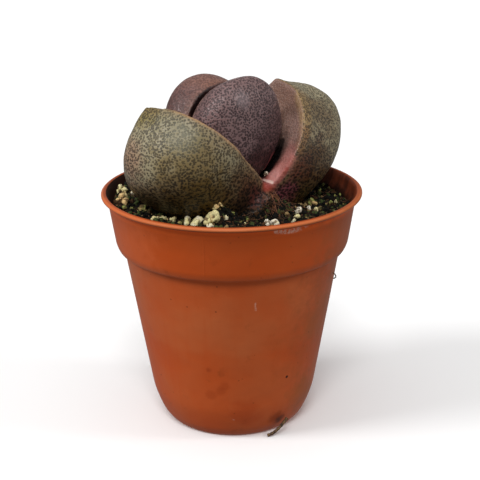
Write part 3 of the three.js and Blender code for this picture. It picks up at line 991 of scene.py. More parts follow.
@dataclass(frozen=True)
class PotMarks:
    """Places of the marks that the pot bears, in millimetres, and of painted light and shade on its sides."""

    specks: tuple[tuple[Point, float], ...] = (
        ((11.3, -15.2, 14.1), 0.4),
        ((-3.0, -22.6, 37.3), 0.2),
        ((-3.3, -21.6, 31.5), 0.22),
        ((-9.1, -19.9, 32.0), 0.2),
        ((-15.5, -10.4, 12.6), 0.24),
        ((14.9, -13.4, 20.3), 0.22),
        ((15.6, -11.5, 16.7), 0.2),
        ((15.9, -12.9, 23.3), 0.2),
        ((-6.6, -20.8, 35.4), 0.24),
        ((-12.4, -18.2, 33.0), 0.2),
        ((-17.6, -12.9, 24.2), 0.24),
        ((3.4, -19.6, 22.4), 0.18),
        ((-12.6, -14.2, 16.6), 0.18),
        ((7.4, -17.0, 13.6), 0.18),
    )
    scuffs: tuple[Stroke, ...] = (
        Stroke((8.6, -24.7, 49.5), (11.2, -23.6, 49.1), 0.7, 0.75),
        Stroke((11.9, -23.3, 49.1), (13.8, -22.2, 49.4), 0.75, 0.8),
        Stroke((13.6, -22.3, 49.2), (14.9, -21.4, 49.5), 0.4, 0.45),
        Stroke((4.6, -21.5, 33.4), (4.7, -21.3, 31.7), 0.28, 0.4),
        Stroke((-0.2, -17.2, 5.2), (0.1, -17.2, 5.0), 0.4, 0.7),
        Stroke((-8.0, -15.6, 5.6), (-4.8, -16.7, 5.3), 0.22, 0.3),
        Stroke((-4.8, -16.7, 5.3), (-1.8, -17.2, 5.1), 0.2, 0.25),
    )
    washes: tuple[Wash, ...] = (
        # Painted light on the left of the collar.
        Wash(colour(206, 98, 50), (-22.0, -13.0, 44.0), 12.0, 0.5),
        # Painted shade down the right side, in this wash and the next.
        Wash(colour(156, 80, 36), (26.0, -7.0, 42.0), 16.0, 0.7),
        Wash(colour(164, 80, 36), (22.0, -8.0, 22.0), 17.0, 0.5),
        Wash(colour(156, 58, 16), (-1.7, -18.8, 13.8), 1.2, 0.35),
        Wash(colour(156, 58, 16), (-2.6, -18.5, 12.3), 1.2, 0.35),
        Wash(colour(156, 58, 16), (-4.6, -17.9, 11.4), 1.4, 0.35),
        Wash(colour(150, 56, 18), (-5.1, -18.8, 17.5), 0.8, 0.5),
        Wash(colour(176, 60, 12), (2.6, -17.4, 7.0), 4.0, 0.4),
        Wash(colour(120, 44, 10), (9.6, -14.3, 4.0), 2.4, 0.55),
        Wash(colour(60, 24, 6), (10.3, -13.3, 3.0), 1.5, 0.7),
        # Painted shade on the right front, in this wash and the next.
        Wash(colour(150, 84, 38), (15.6, -9.4, 8.0), 6.0, 0.55),
        Wash(colour(150, 84, 38), (18.4, -11.0, 26.0), 7.0, 0.4),
    )
    seam_x: float = -5.4


@dataclass
class NurseryPot:
    """The thin pot, in millimetres: a tapered body, a collar, a rolled lip and drain holes in its floor."""

    marks: PotMarks = field(default_factory=PotMarks)
    wall: float = 0.62
    collar_top_radius: float = 26.15
    collar_foot_radius: float = 24.7
    collar_foot: float = 40.1
    body_top_radius: float = 23.0
    body_top: float = 38.5
    body_foot_radius: float = 17.5
    body_foot: float = 5.4
    foot_radius: float = 13.6
    foot_ring: float = 1.5
    recess: float = 0.8
    drain_radius: float = 2.6
    drain_circle: float = 7.8
    drain_count: int = 4
    drain_sides: int = 40
    segments: int = 224
    sharpest_bend: float = 50.0

    def inner_radius(self, height: float) -> float:
        """The radius of the inner wall.

        Args:
            height: How high, in millimetres.

        Returns:
            The radius there.
        """
        if height > self.collar_foot:
            foot, top = self.collar_foot, POT_HEIGHT
            narrow, wide = self.collar_foot_radius, self.collar_top_radius
        else:
            foot, top = self.body_foot, self.body_top
            narrow, wide = self.body_foot_radius, self.body_top_radius
        return narrow + (wide - narrow) * ((height - foot) / (top - foot)) - self.wall

    def outline(self) -> np.ndarray:
        """The outline of the wall, from the middle of the floor's underside to the middle of its top."""
        floor_top = self.recess + self.wall
        foot_inside = self.foot_radius - self.foot_ring
        corners = [
            (0.0, self.recess, 0.0),
            (foot_inside - 0.3, self.recess, 0.15),
            (foot_inside, 0.0, 0.15),
            (self.foot_radius, 0.0, 0.35),
            (self.foot_radius + 0.9, 0.45, 0.6),
            (self.foot_radius + 2.05, 2.0, 0.9),
            (self.foot_radius + 3.1, 4.4, 1.2),
            (self.body_foot_radius + 0.1, self.body_foot + 1.7, 1.4),
            (self.body_top_radius, self.body_top, 0.3),
            (self.collar_foot_radius - 0.6, self.body_top + 0.3, 0.5),
            (self.collar_foot_radius, self.collar_foot, 0.9),
            (self.collar_top_radius - 0.15, LIP_FOOT - 1.6, 0.5),
            (self.collar_top_radius, LIP_FOOT - 0.15, 0.35),
            (RIM_RADIUS - 0.35, LIP_FOOT - 0.02, 0.3),
            (RIM_RADIUS, LIP_FOOT + 0.35, 0.25),
            (RIM_RADIUS, POT_HEIGHT - 0.35, 0.3),
            (RIM_RADIUS - 0.45, POT_HEIGHT, 0.35),
            (RIM_RADIUS - 1.05, POT_HEIGHT, 0.3),
            (RIM_RADIUS - 1.35, POT_HEIGHT - 0.6, 0.4),
            (RIM_RADIUS - 1.75, LIP_FOOT - 1.2, 0.6),
            (self.inner_radius(LIP_FOOT - 3.0), LIP_FOOT - 3.0, 0.6),
            (self.inner_radius(self.collar_foot + 0.4), self.collar_foot + 0.4, 0.6),
            (self.inner_radius(self.body_top), self.body_top, 0.6),
            (self.inner_radius(self.body_foot), self.body_foot, 1.2),
            (self.foot_radius + 1.6, floor_top + 1.2, 0.9),
            (self.foot_radius - 0.4, floor_top, 0.9),
            (0.0, floor_top, 0.0),
        ]
        return filleted(corners)

    def build(self) -> bpy.types.Object:
        """Turns the wall, cuts the drain holes and marks the inner wall, which looks at the axis."""
        points, faces = turned(self.outline(), self.segments)
        shell = mesh_object("pot_shell_carrier", points, faces)
        cutter = self._drains()
        modifier = shell.modifiers.new("drains", "BOOLEAN")
        modifier.operation = "DIFFERENCE"
        modifier.solver = "EXACT"
        modifier.object = cutter
        pot = plain_copy(shell, "pot_shell")
        bpy.data.objects.remove(cutter)
        places = points_of(pot.data)
        radius = np.maximum(np.hypot(places[:, 0], places[:, 1]), 0.001)
        outwards = (normals_of(pot.data)[:, :2] * places[:, :2]).sum(axis=1) / radius
        on_wall = (places[:, 2] > self.collar_foot) & (places[:, 2] < POT_HEIGHT - 0.08)
        set_attribute(pot.data, "inside", eased(-outwards, 0.3, 0.7) * on_wall)
        pot.data.materials.clear()
        pot.data.materials.append(PotPlastic().material(self.marks))
        pot.data.set_sharp_from_angle(angle=math.radians(self.sharpest_bend))
        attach(pot, "root")
        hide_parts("pot")
        return pot

    def _drains(self) -> bpy.types.Object:
        """The plugs that cut one drain hole in the middle and a ring of them round it."""
        low, high = -1.0, 4.0
        rod = [[0.0, low], [self.drain_radius, low], [self.drain_radius, high], [0.0, high]]
        points, faces = turned(np.array(rod), self.drain_sides)
        places = [(0.0, 0.0, 0.0)]
        for number in range(self.drain_count):
            angle = (number + 0.5) / self.drain_count * FULL_TURN
            places.append((self.drain_circle * math.cos(angle), self.drain_circle * math.sin(angle), 0.0))
        return mesh_object("drain_cutter", *joined([(points + place, faces) for place in places]))


# The leaves


class FaceOutline(Enum):
    """How a leaf's inner face is bounded."""

    POINTED = "a line through given points, with a corner at the tip"
    OVAL = "a rounded oval"


@dataclass(frozen=True)
class LeafShape:
    """A half-egg of a leaf: a face with an outline, and a back that swells out of it.

    Angles are in degrees and lengths in millimetres. The outline's points lie across and along the leaf,
    up its right side to the tip and down its left, and the back is depth thick.
    """

    azimuth: float
    lean: float
    roll: float
    foot: Point
    outline: FaceOutline
    centre: tuple[float, float]
    depth: float
    chin: float
    belly: float
    deepen: float
    narrow: float
    dish: float
    right: tuple[tuple[float, float], ...] = ()
    tip: tuple[float, float] = (0.0, 0.0)
    left: tuple[tuple[float, float], ...] = ()
    half_width: float = 0.0
    rise: float = 0.0
    drop: float = 0.0
    roundness: float = 2.1
    shoulder: float = 0.0
    shoulder_reach: float = 0.5
    late_lift: float = 0.0

    def axes(self) -> np.ndarray:
        """Rows of the directions across, along and out of the leaf."""
        azimuth, lean, roll = (math.radians(a) for a in (self.azimuth, self.lean, self.roll))
        outwards = np.array([math.cos(azimuth), math.sin(azimuth), 0.0])
        up = np.array([0.0, 0.0, 1.0])
        along = math.cos(lean) * up + math.sin(lean) * outwards
        out = math.cos(lean) * outwards - math.sin(lean) * up
        across = np.cross(along, out)
        turned_across = math.cos(roll) * across + math.sin(roll) * along
        turned_along = math.cos(roll) * along - math.sin(roll) * across
        return np.array([turned_across, turned_along, out])

    def placed(self, local: np.ndarray) -> np.ndarray:
        """Points of the leaf's own axes, in the plant's."""
        return local @ self.axes() + np.array(self.foot)

    def local(self, points: np.ndarray) -> np.ndarray:
        """Points of the plant, in the leaf's own axes."""
        return (points - np.array(self.foot)) @ self.axes().T

    def outlines(self, steps: int) -> tuple[np.ndarray, np.ndarray]:
        """The face's outline in its own plane.

        Args:
            steps: Points to each span of the outline.

        Returns:
            The outline with its sharp tip, and the same with the tip rounded off.
        """
        if self.outline is FaceOutline.OVAL:
            angles = angles_round(16 * steps) - math.pi / 2
            round_ones = (np.cos(angles), np.sin(angles))
            wide, high = (np.sign(v) * np.abs(v) ** (2 / self.roundness) for v in round_ones)
            reach = np.where(np.sin(angles) > 0, self.rise, self.drop)
            oval = np.stack([self.half_width * wide, self.drop + reach * high], axis=1)
            return oval, oval
        right = [*self.right, self.tip]
        left = [self.tip, *self.left, self.right[0]]
        sharp = np.vstack([curve_through(np.array(side), steps, False)[:-1] for side in (right, left)])
        return sharp, curve_through(np.array([*right[:-1], *left[:-1]]), steps, True)

    def solid(self, name: str, steps: int = 10, back_rows: int = 48, face_rows: int = 20) -> bpy.types.Object:
        """The closed leaf, finely divided.

        Args:
            name: The object's name.
            steps: Points to each span of the outline.
            back_rows: Rings over the back.
            face_rows: Rings over the face.

        Returns:
            The object.
        """
        sharp, rounded = self.outlines(steps)
        centre = np.array(self.centre)
        rings = []
        for row in range(1, face_rows):
            share = row / face_rows
            flat = centre + (sharp - centre) * share
            rings.append(np.column_stack([flat, np.full(len(flat), self.dish * (1 - share**2))]))
        for row in range(back_rows):
            angle = row / back_rows * math.pi / 2
            blend = math.sin(angle) ** 0.6
            width = math.cos(angle) ** self.narrow + self.belly * math.sin(2 * angle)
            if angle < self.shoulder_reach:
                width = max(width, self.shoulder)
            deep = math.sin(angle) ** self.deepen
            lift = (0.0, self.chin * deep * (1 - self.late_lift * (1 - deep) ** 2))
            flat = centre + (sharp * (1 - blend) + rounded * blend - centre) * width + lift
            rings.append(np.column_stack([flat, np.full(len(flat), self.depth * deep)]))
        middles = [[*self.centre, self.dish], [self.centre[0], self.centre[1] + self.chin, self.depth]]
        faces = stacked_faces(len(rings), len(sharp))
        return mesh_object(name, self.placed(np.vstack([*rings, middles])), faces)

    def share_of_face(self, flat: np.ndarray) -> np.ndarray:
        """How far points of the face's plane lie from its centre.

        Args:
            flat: The points, across and along the leaf.

        Returns:
            A share for each point, 1 being on the outline.
        """
        sharp, _ = self.outlines(10)
        ring = sharp - np.array(self.centre)
        spokes = np.arctan2(ring[:, 1], ring[:, 0])
        order = np.argsort(spokes)
        reach = np.hypot(ring[:, 0], ring[:, 1])[order]
        arm = flat - np.array(self.centre)
        angles = np.arctan2(arm[:, 1], arm[:, 0])
        limit = np.interp(angles, spokes[order], reach, period=2 * math.pi)
        return np.hypot(arm[:, 0], arm[:, 1]) / limit

    def margin_distance(self, points: np.ndarray) -> np.ndarray:
        """How far points lie from the leaf's margin.

        Args:
            points: The points, in the plant's axes.

        Returns:
            A distance in millimetres for each point.
        """
        sharp, _ = self.outlines(24)
        centre = np.array(self.centre)
        sharp = centre + (sharp - centre) * max(1.0, self.shoulder)
        line = self.placed(np.column_stack([sharp, np.zeros(len(sharp))]))
        tree = KDTree(len(line))
        for number, place in enumerate(line):
            tree.insert(place, number)
        tree.balance()
        return np.array([tree.find(place)[2] for place in points])

    def on_face(self, normals: np.ndarray) -> np.ndarray:
        """1 where the skin looks along the face, 0 on the back."""
        return eased(-(normals @ self.axes()[2]), 0.66, 0.94)


CLEFT_FLOOR: Point = (1.3, -0.45, 53.2)
INNER_FOOT: Point = (-1.15, -0.25, 52.2)
PRESSED_DISH = 1.2

OUTER_FRONT = LeafShape(
    azimuth=230, lean=46, roll=9, foot=CLEFT_FLOOR, outline=FaceOutline.POINTED, centre=(-2.5, 14.9),
    depth=15.5, chin=1.0, belly=0.0, deepen=0.85, narrow=0.81, dish=1.2,
    right=(
        (-1.5, -9.5), (5.5, -7), (8.4, 0), (9.9, 6.5), (11.2, 12.8), (10.9, 18.3), (8.6, 22.9), (4.0, 25.8),
    ),
    tip=(-3.9, 26.6),
    left=((-10.2, 22.0), (-14.5, 16.4), (-16.3, 9.6), (-15.5, 4), (-12.5, -2), (-7.7, -7)),
)
OUTER_BACK = LeafShape(
    azimuth=46, lean=34.5, roll=-1, foot=CLEFT_FLOOR, outline=FaceOutline.POINTED, centre=(0, 13.2),
    depth=17.0, chin=4.8, belly=0.18, deepen=0.67, narrow=0.77, dish=2.4, late_lift=1.0,
    right=((0, -9.5), (6.8, -6), (10.4, 0), (12.6, 6.5), (12.2, 12), (8.8, 17.2), (3.4, 20.9)),
    tip=(1.2, 23.6),
    left=((-3.7, 22.5), (-7.5, 20.0), (-10.3, 16.2), (-12.2, 10), (-11.4, 4.6), (-9.0, -0.4), (-5.8, -6)),
)
INNER_FRONT = LeafShape(
    azimuth=-43.4, lean=0.3, roll=3.2, foot=INNER_FOOT, outline=FaceOutline.OVAL, centre=(0, 9.3),
    depth=9.6, chin=2.5, belly=0.255, deepen=0.97, narrow=1.0, dish=0.0,
    half_width=10.5, rise=11.72, drop=9.3, roundness=2.3, shoulder=1.03,
)
INNER_BACK = LeafShape(
    azimuth=136.6, lean=1.8, roll=-4.5, foot=INNER_FOOT, outline=FaceOutline.OVAL, centre=(0, 9.3),
    depth=10.4, chin=3.9, belly=0.07, deepen=0.8, narrow=1.02, dish=0.0,
    half_width=10.9, rise=11.9, drop=9.3,
)


@dataclass(frozen=True)
class Swelling:
    """An egg of flesh under an end of the cleft, where the outer leaves have grown together."""

    centre: Point
    radii: Point = (5.8, 5.8, 6.6)

    def solid(self, name: str, rows: int = 24, sides: int = 40) -> bpy.types.Object:
        """The closed egg."""
        angles = np.linspace(0.0, math.pi, rows)
        points, faces = turned(np.stack([np.sin(angles), -np.cos(angles)], axis=1), sides)
        return mesh_object(name, points * np.array(self.radii) + np.array(self.centre), faces)


NEAR_NOTCH = np.array([7.3, -5.5, 53.6])
FAR_NOTCH = OUTER_FRONT.placed(np.array([-13.0, -0.5, 0.3]))
NOTCH_REACH = 2.2
FACE_DEPTH = 12.0

OUTER_SKIN = LeafSkin(
    name="outer_leaf_skin",
    upper=colour(152, 141, 112), lower=colour(94, 67, 31), face=colour(132, 100, 88),
    face_low_shaded=colour(66, 36, 34), margin=colour(136, 112, 78), rim=colour(168, 130, 92),
    dots=(0.12, 0.11, 0.1, 1.0), face_dots=(0.6, 0.55, 0.55, 1.0),
    washes=(
        Wash(colour(128, 119, 89), (-9.4, -17.0, 68.3), 9.0, 0.8),
        Wash(colour(122, 106, 46), (-16.4, -10.1, 69.9), 5.0, 0.85),
        Wash(colour(157, 116, 94), (-19.9, -14.5, 61.5), 5.0, 0.6),
        Wash(colour(130, 108, 63), (-7.9, -19.7, 61.0), 8.5, 0.75),
        Wash(colour(104, 80, 36), (-7.2, -17.5, 53.0), 9.0, 0.8),
        Wash(colour(158, 140, 110), (-2.0, -15.4, 65.6), 4.0, 0.55),
        Wash(colour(102, 74, 46), (1.0, -11.8, 57.0), 5.0, 0.7),
        Wash(colour(102, 60, 42), (4.0, -10.2, 53.0), 5.5, 0.8),
        # Painted shade at the outer front leaf's foot by the soil, purple-brown in the second wash.
        Wash(colour(50, 36, 24), (2.6, -10.6, 50.0), 4.6, 0.85),
        Wash(colour(92, 50, 44), (5.6, -8.5, 51.4), 3.4, 0.9),
        Wash(colour(164, 132, 85), (13.5, 3.5, 69.5), 5.0, 0.7),
        Wash(colour(102, 82, 56), (19.1, 3.2, 66.4), 7.0, 0.8),
        Wash(colour(74, 42, 10), (16.3, -2.9, 57.7), 7.0, 0.85),
        Wash(colour(107, 59, 46), (13.3, -5.1, 56.6), 4.0, 0.75),
        Wash(colour(67, 42, 25), (15.0, -5.0, 51.0), 3.5, 0.6),
        Wash(colour(156, 78, 100), (10.9, -5.0, 50.6), 4.4, 0.6),
    ),
    face_washes=(
        Wash(colour(124, 92, 78), (12.0, 4.3, 67.7), 7.0, 0.8),
        Wash(colour(182, 146, 134), (12.8, -0.3, 63.0), 5.5, 0.8),
        Wash(colour(184, 122, 114), (11.8, -3.5, 59.6), 3.2, 0.75),
        Wash(colour(190, 116, 106), (9.4, -4.5, 56.0), 2.8, 0.8),
    ),
    bands=(
        # Tan bands along the outer back leaf's ridge: its tan colour with a painted highlight.
        (colour(154, 124, 78), Stroke((14.9, 3.5, 69.8), (15.8, -0.5, 66.1), 2.4, 0.5)),
        (colour(154, 122, 76), Stroke((15.8, -0.5, 66.1), (15.6, -2.0, 63.9), 2.2, 0.5)),
        (colour(140, 96, 56), Stroke((15.5, -2.0, 63.9), (14.3, -4.1, 60.6), 1.5, 0.5)),
        (colour(122, 92, 44), Stroke((10.4, 9.9, 72.7), (12.6, 7.4, 71.9), 0.9, 0.6)),
    ),
    painted_highlights_and_pink=(
        # A painted highlight on the outer front leaf.
        Wash(colour(136, 136, 116), (-9.4, -19.0, 66.4), 4.2, 0.35),
        # Pink skin on the outer back leaf's face by the notch, lightened with painted highlight.
        Wash(colour(226, 150, 140), (11.2, -4.4, 58.2), 2.4, 0.4),
        Wash(colour(226, 148, 138), (10.4, -5.2, 56.8), 2.2, 0.5),
        Wash(colour(246, 172, 164), (8.9, -5.3, 55.0), 2.3, 0.8),
    ),
    painted_light_shade_and_marks=(
        # Pale strokes on the outer front leaf: a painted glint.
        (colour(214, 206, 176), Stroke((-13.0, -18.6, 64.8), (-12.3, -19.2, 64.2), 0.32, 0.6)),
        (colour(214, 206, 176), Stroke((-12.3, -19.2, 64.2), (-11.5, -19.4, 63.8), 0.26, 0.45)),
        # Red strokes beside the outer back leaf's ridge and down to the notch.
        (colour(168, 70, 56), Stroke((12.6, -5.3, 58.9), (11.3, -6.1, 56.6), 0.8, 0.3)),
        (colour(172, 60, 46), Stroke((11.4, -6.2, 56.6), (9.7, -6.5, 53.9), 0.8, 0.45)),
        # Dark red strokes at the foot of the notch.
        (colour(96, 24, 15), Stroke((6.2, -4.4, 53.1), (7.4, -5.8, 53.0), 1.2, 0.75)),
        (colour(118, 34, 22), Stroke((6.4, -6.6, 53.6), (7.0, -6.7, 53.0), 1.0, 0.5)),
        (colour(176, 66, 50), Stroke((7.4, -6.9, 53.0), (8.7, -6.9, 53.0), 1.3, 0.5)),
        # Pale lines along the notch's edges: pale skin with a painted highlight.
        (colour(214, 140, 126), Stroke((6.0, -7.8, 55.4), (6.8, -6.4, 54.3), 0.4, 0.5)),
        (colour(250, 214, 202), Stroke((6.4, -3.4, 53.9), (7.5, -5.2, 53.9), 0.42, 0.9)),
        (colour(250, 214, 202), Stroke((7.5, -5.2, 53.9), (8.4, -6.1, 53.9), 0.5, 0.9)),
        # Painted shadow on the outer back leaf's face beside the inner front leaf, soft and then dark.
        (colour(24, 10, 8), Stroke((10.9, 0.9, 61.0), (9.9, -0.1, 59.2), 2.9, 0.45)),
        (colour(24, 10, 8), Stroke((9.9, -0.1, 59.2), (8.7, -1.4, 56.8), 2.9, 0.5)),
        (colour(5, 2, 2), Stroke((10.7, 0.9, 60.8), (10.0, -0.2, 59.2), 1.1, 0.85)),
        (colour(5, 2, 2), Stroke((10.0, -0.2, 59.2), (9.3, -1.2, 57.8), 1.4, 0.95)),
        (colour(5, 2, 2), Stroke((9.3, -1.2, 57.8), (7.9, -2.2, 55.7), 1.5, 1.0)),
        (colour(5, 2, 2), Stroke((7.9, -2.2, 55.7), (6.4, -1.8, 54.6), 1.6, 1.0)),
    ),
)
FRONT_SKIN = LeafSkin(
    name="inner_leaf_skin",
    upper=colour(128, 101, 100), lower=colour(64, 31, 35), face=colour(90, 58, 56),
    face_low_shaded=colour(62, 32, 34), margin=colour(122, 90, 78), rim=colour(150, 106, 84),
    dots=(0.14, 0.11, 0.13, 1.0), face_dots=(0.3, 0.28, 0.3, 1.0),
    washes=(
        Wash(colour(122, 97, 95), (2.3, -8.2, 72.8), 7.0, 0.6),
        Wash(colour(114, 84, 82), (-5.0, -11.7, 69.5), 5.0, 0.65),
        Wash(colour(88, 61, 64), (8.4, -3.2, 64.3), 7.0, 0.7),
        Wash(colour(52, 25, 29), (5.5, -6.1, 57.6), 6.5, 0.85),
    ),
    # A painted highlight at the top of the inner front leaf.
    painted_highlights_and_pink=(Wash(colour(150, 134, 136), (2.0, -8.7, 72.0), 2.3, 0.35),),
    # Painted light that lifts the shade on the inner front leaf's lower right edge.
    painted_light_shade_and_marks=((colour(140, 76, 78), Stroke((8.4, -2.3, 58.6), (7.2, -2.8, 55.8), 1.3, 0.8)),),
    low_height=53.0, high_height=66.0, dot_scale=2.15, ink=0.9,
)
BACK_SKIN = LeafSkin(
    name="inner_leaf_skin_back",
    upper=colour(123, 89, 83), lower=colour(74, 42, 40), face=colour(80, 48, 46),
    face_low_shaded=colour(58, 30, 30), margin=colour(128, 88, 70), rim=colour(140, 94, 72),
    dots=(0.3, 0.25, 0.27, 1.0), face_dots=(0.3, 0.28, 0.3, 1.0),
    washes=(
        Wash(colour(138, 98, 83), (-5.0, 0.0, 74.6), 5.0, 0.6),
        Wash(colour(82, 51, 46), (-11.3, -4.2, 69.0), 6.0, 0.7),
    ),
    # Painted shadow on the inner back leaf along the gap by the inner front leaf.
    painted_light_shade_and_marks=(
        (colour(20, 8, 6), Stroke((-7.6, -6.0, 68.8), (-5.9, -4.2, 71.2), 1.3, 0.9)),
        (colour(26, 10, 8), Stroke((-5.9, -4.2, 71.2), (-3.6, -2.6, 73.2), 1.1, 0.85)),
        (colour(34, 14, 11), Stroke((-3.6, -2.6, 73.2), (-0.6, -1.2, 74.6), 0.9, 0.75)),
    ),
    low_height=53.0, high_height=66.0, dot_scale=2.1, ink=0.66, low_ink=0.85,
)


@dataclass
class SplitRock:
    """The plant: two outer leaves grown together at their foot, and an inner pair between them."""

    voxel: float = 0.27
    rounding_rounds: int = 4
    margin_rounds: tuple[int, int] = (5, 30)
    fillet_reach: float = 2.2
    fillet_rounds: int = 60
    margin_reach: tuple[float, float] = (2.8, 0.8)
    undulation: float = 0.16
    outer_pair: tuple[LeafShape, LeafShape] = (OUTER_FRONT, OUTER_BACK)
    fused_base: tuple[Swelling, ...] = (Swelling((4.2, -4.2, 46.5)), Swelling((-4.9, 4.6, 46.5)))
    tight_gap: float = 0.12
    open_gap: float = 0.7
    cleft_half_width: float = 0.3

    def build(self) -> list[bpy.types.Object]:
        """Builds the joined outer leaves, then the inner ones against them."""
        tight, wide = self.tight_gap, self.open_gap
        return [
            self._outer(),
            self._inner("inner_leaf_front", INNER_FRONT, FRONT_SKIN, "leaf_inner_front", (tight, wide)),
            self._inner("inner_leaf_back", INNER_BACK, BACK_SKIN, "leaf_inner_back", (tight, tight)),
        ]

    def _outer(self) -> bpy.types.Object:
        """The outer leaves as one body, with a soft saddle where they meet."""
        solids = [shape.solid("outer_carrier") for shape in self.outer_pair]
        solids += [lump.solid("base_carrier") for lump in self.fused_base]
        trees = [tree_of(solid.data) for solid in solids]
        pair = voxel_skin("outer_leaves", solids, self.voxel)
        points = points_of(pair.data)
        edges = edges_of(pair.data)
        gaps = np.array([[tree.find_nearest(p * MM)[3] * PER_METRE for tree in trees] for p in points])
        points = relax(points, edges, self.rounding_rounds)
        meeting = eased(np.sort(gaps, axis=1)[:, 1], self.fillet_reach, 0.0)
        points = relax(points, edges, self.fillet_rounds, 0.6 * meeting)
        for shape, rounds in zip(self.outer_pair, self.margin_rounds):
            beside_margin = eased(shape.margin_distance(points), *self.margin_reach)
            points = relax(points, edges, rounds, 0.5 * beside_margin)
        points += self._unevenness(pair.data, points)
        set_points(pair.data, points)
        back_share = eased(gaps[:, 0] - gaps[:, 1], -0.8, 0.8)
        self._keep_attributes(pair.data, self.outer_pair, back_share)
        return self._dress(pair, OUTER_SKIN, ("leaf_outer_front", "leaf_outer_back"), "outer_leaf_skin")

    def _unevenness(self, mesh: bpy.types.Mesh, points: np.ndarray) -> np.ndarray:
        """Slow swells of the skin, along its own directions."""
        slow, fast = 0.17, 0.4
        swell = [noise.noise(Vector(p * slow)) + 0.5 * noise.noise(Vector(p * fast)) for p in points]
        return normals_of(mesh) * (np.array(swell) * self.undulation)[:, None]

    def _keep_attributes(
        self, mesh: bpy.types.Mesh, shapes: tuple[LeafShape, ...], second: np.ndarray
    ) -> None:
        """Keeps on the points what the skin's colours depend on.

        Args:
            mesh: The finished mesh.
            shapes: The one or two leaves in it.
            second: How far each point belongs to the last of them.
        """
        points, normals = points_of(mesh), normals_of(mesh)
        kept = {"face": 0.0, "margin": 0.0, "depth": 0.0}
        for shape, share in zip(shapes, (1 - second, second)):
            local = shape.local(points)
            found = {
                "face": shape.on_face(normals),
                "margin": shape.margin_distance(points),
                "depth": eased(local[:, 1], FACE_DEPTH, 0.0),
            }
            kept = {name: kept[name] + share * value for name, value in found.items()}
        for name, value in kept.items():
            set_attribute(mesh, name, value)
        set_attribute(mesh, "notch", self._notches(points) if len(shapes) > 1 else np.zeros(len(points)))

    @staticmethod
    def _notches(points: np.ndarray) -> np.ndarray:
        """How near points lie to either end of the cleft."""
        away = [np.linalg.norm(points - end, axis=1) / NOTCH_REACH for end in (NEAR_NOTCH, FAR_NOTCH)]
        return np.exp(-(np.minimum(*away) ** 2))

    def _inner(
        self, name: str, shape: LeafShape, skin: LeafSkin, node: str, gaps: tuple[float, float]
    ) -> bpy.types.Object:
        """One inner leaf, pressed flat where it meets the outer ones.

        Args:
            name: The piece's name.
            shape: The leaf's shape.
            skin: Its finish.
            node: The node that it stands for.
            gaps: How far it keeps off the front and the back outer leaf.

        Returns:
            The piece.
        """
        leaf = voxel_skin(name, [shape.solid("inner_carrier")], self.voxel)
        points = relax(points_of(leaf.data), edges_of(leaf.data), self.rounding_rounds)
        points += self._unevenness(leaf.data, points) + shape.axes()[2] * self.cleft_half_width
        for _ in range(3):
            for outer, gap in zip(self.outer_pair, gaps):
                points = self._kept_off(points, outer, gap)
        set_points(leaf.data, points)
        self._keep_attributes(leaf.data, (shape,), np.zeros(len(points)))
        return self._dress(leaf, skin, (node,), "inner_leaf_skin")

    @staticmethod
    def _kept_off(points: np.ndarray, outer: LeafShape, gap: float) -> np.ndarray:
        """Moves points that lie behind an outer leaf's face back in front of it."""
        local = outer.local(points)
        share = outer.share_of_face(local[:, :2])
        surface = PRESSED_DISH * (1 - np.minimum(share, 1.0) ** 2) - gap
        past = np.where((share < 1.05) & (local[:, 2] > surface), local[:, 2] - surface, 0.0)
        return points - past[:, None] * outer.axes()[2]

    @staticmethod
    def _dress(
        piece: bpy.types.Object, skin: LeafSkin, nodes: tuple[str, ...], slot: str
    ) -> bpy.types.Object:
        """Gives a leaf piece its skin and its place in the frame.

        Args:
            piece: The piece.
            skin: Its finish.
            nodes: The nodes that it stands for.
            slot: The record's material slot; not used.

        Returns:
            The piece.
        """
        piece.data.materials.clear()
        piece.data.materials.append(skin.material())
        piece.data.shade_smooth()
        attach(piece, "root")
        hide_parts(*nodes)
        return piece


# The potting mix


@dataclass(frozen=True)
class Mound:
    """Soil heaped up beside the plant."""

    x: float
    y: float
    radius: float
    height: float

    def rise(self, x: float, y: float) -> float:
        """How much it lifts the soil at a place."""
        return self.height * math.exp(-((x - self.x) ** 2 + (y - self.y) ** 2) / (2 * self.radius**2))


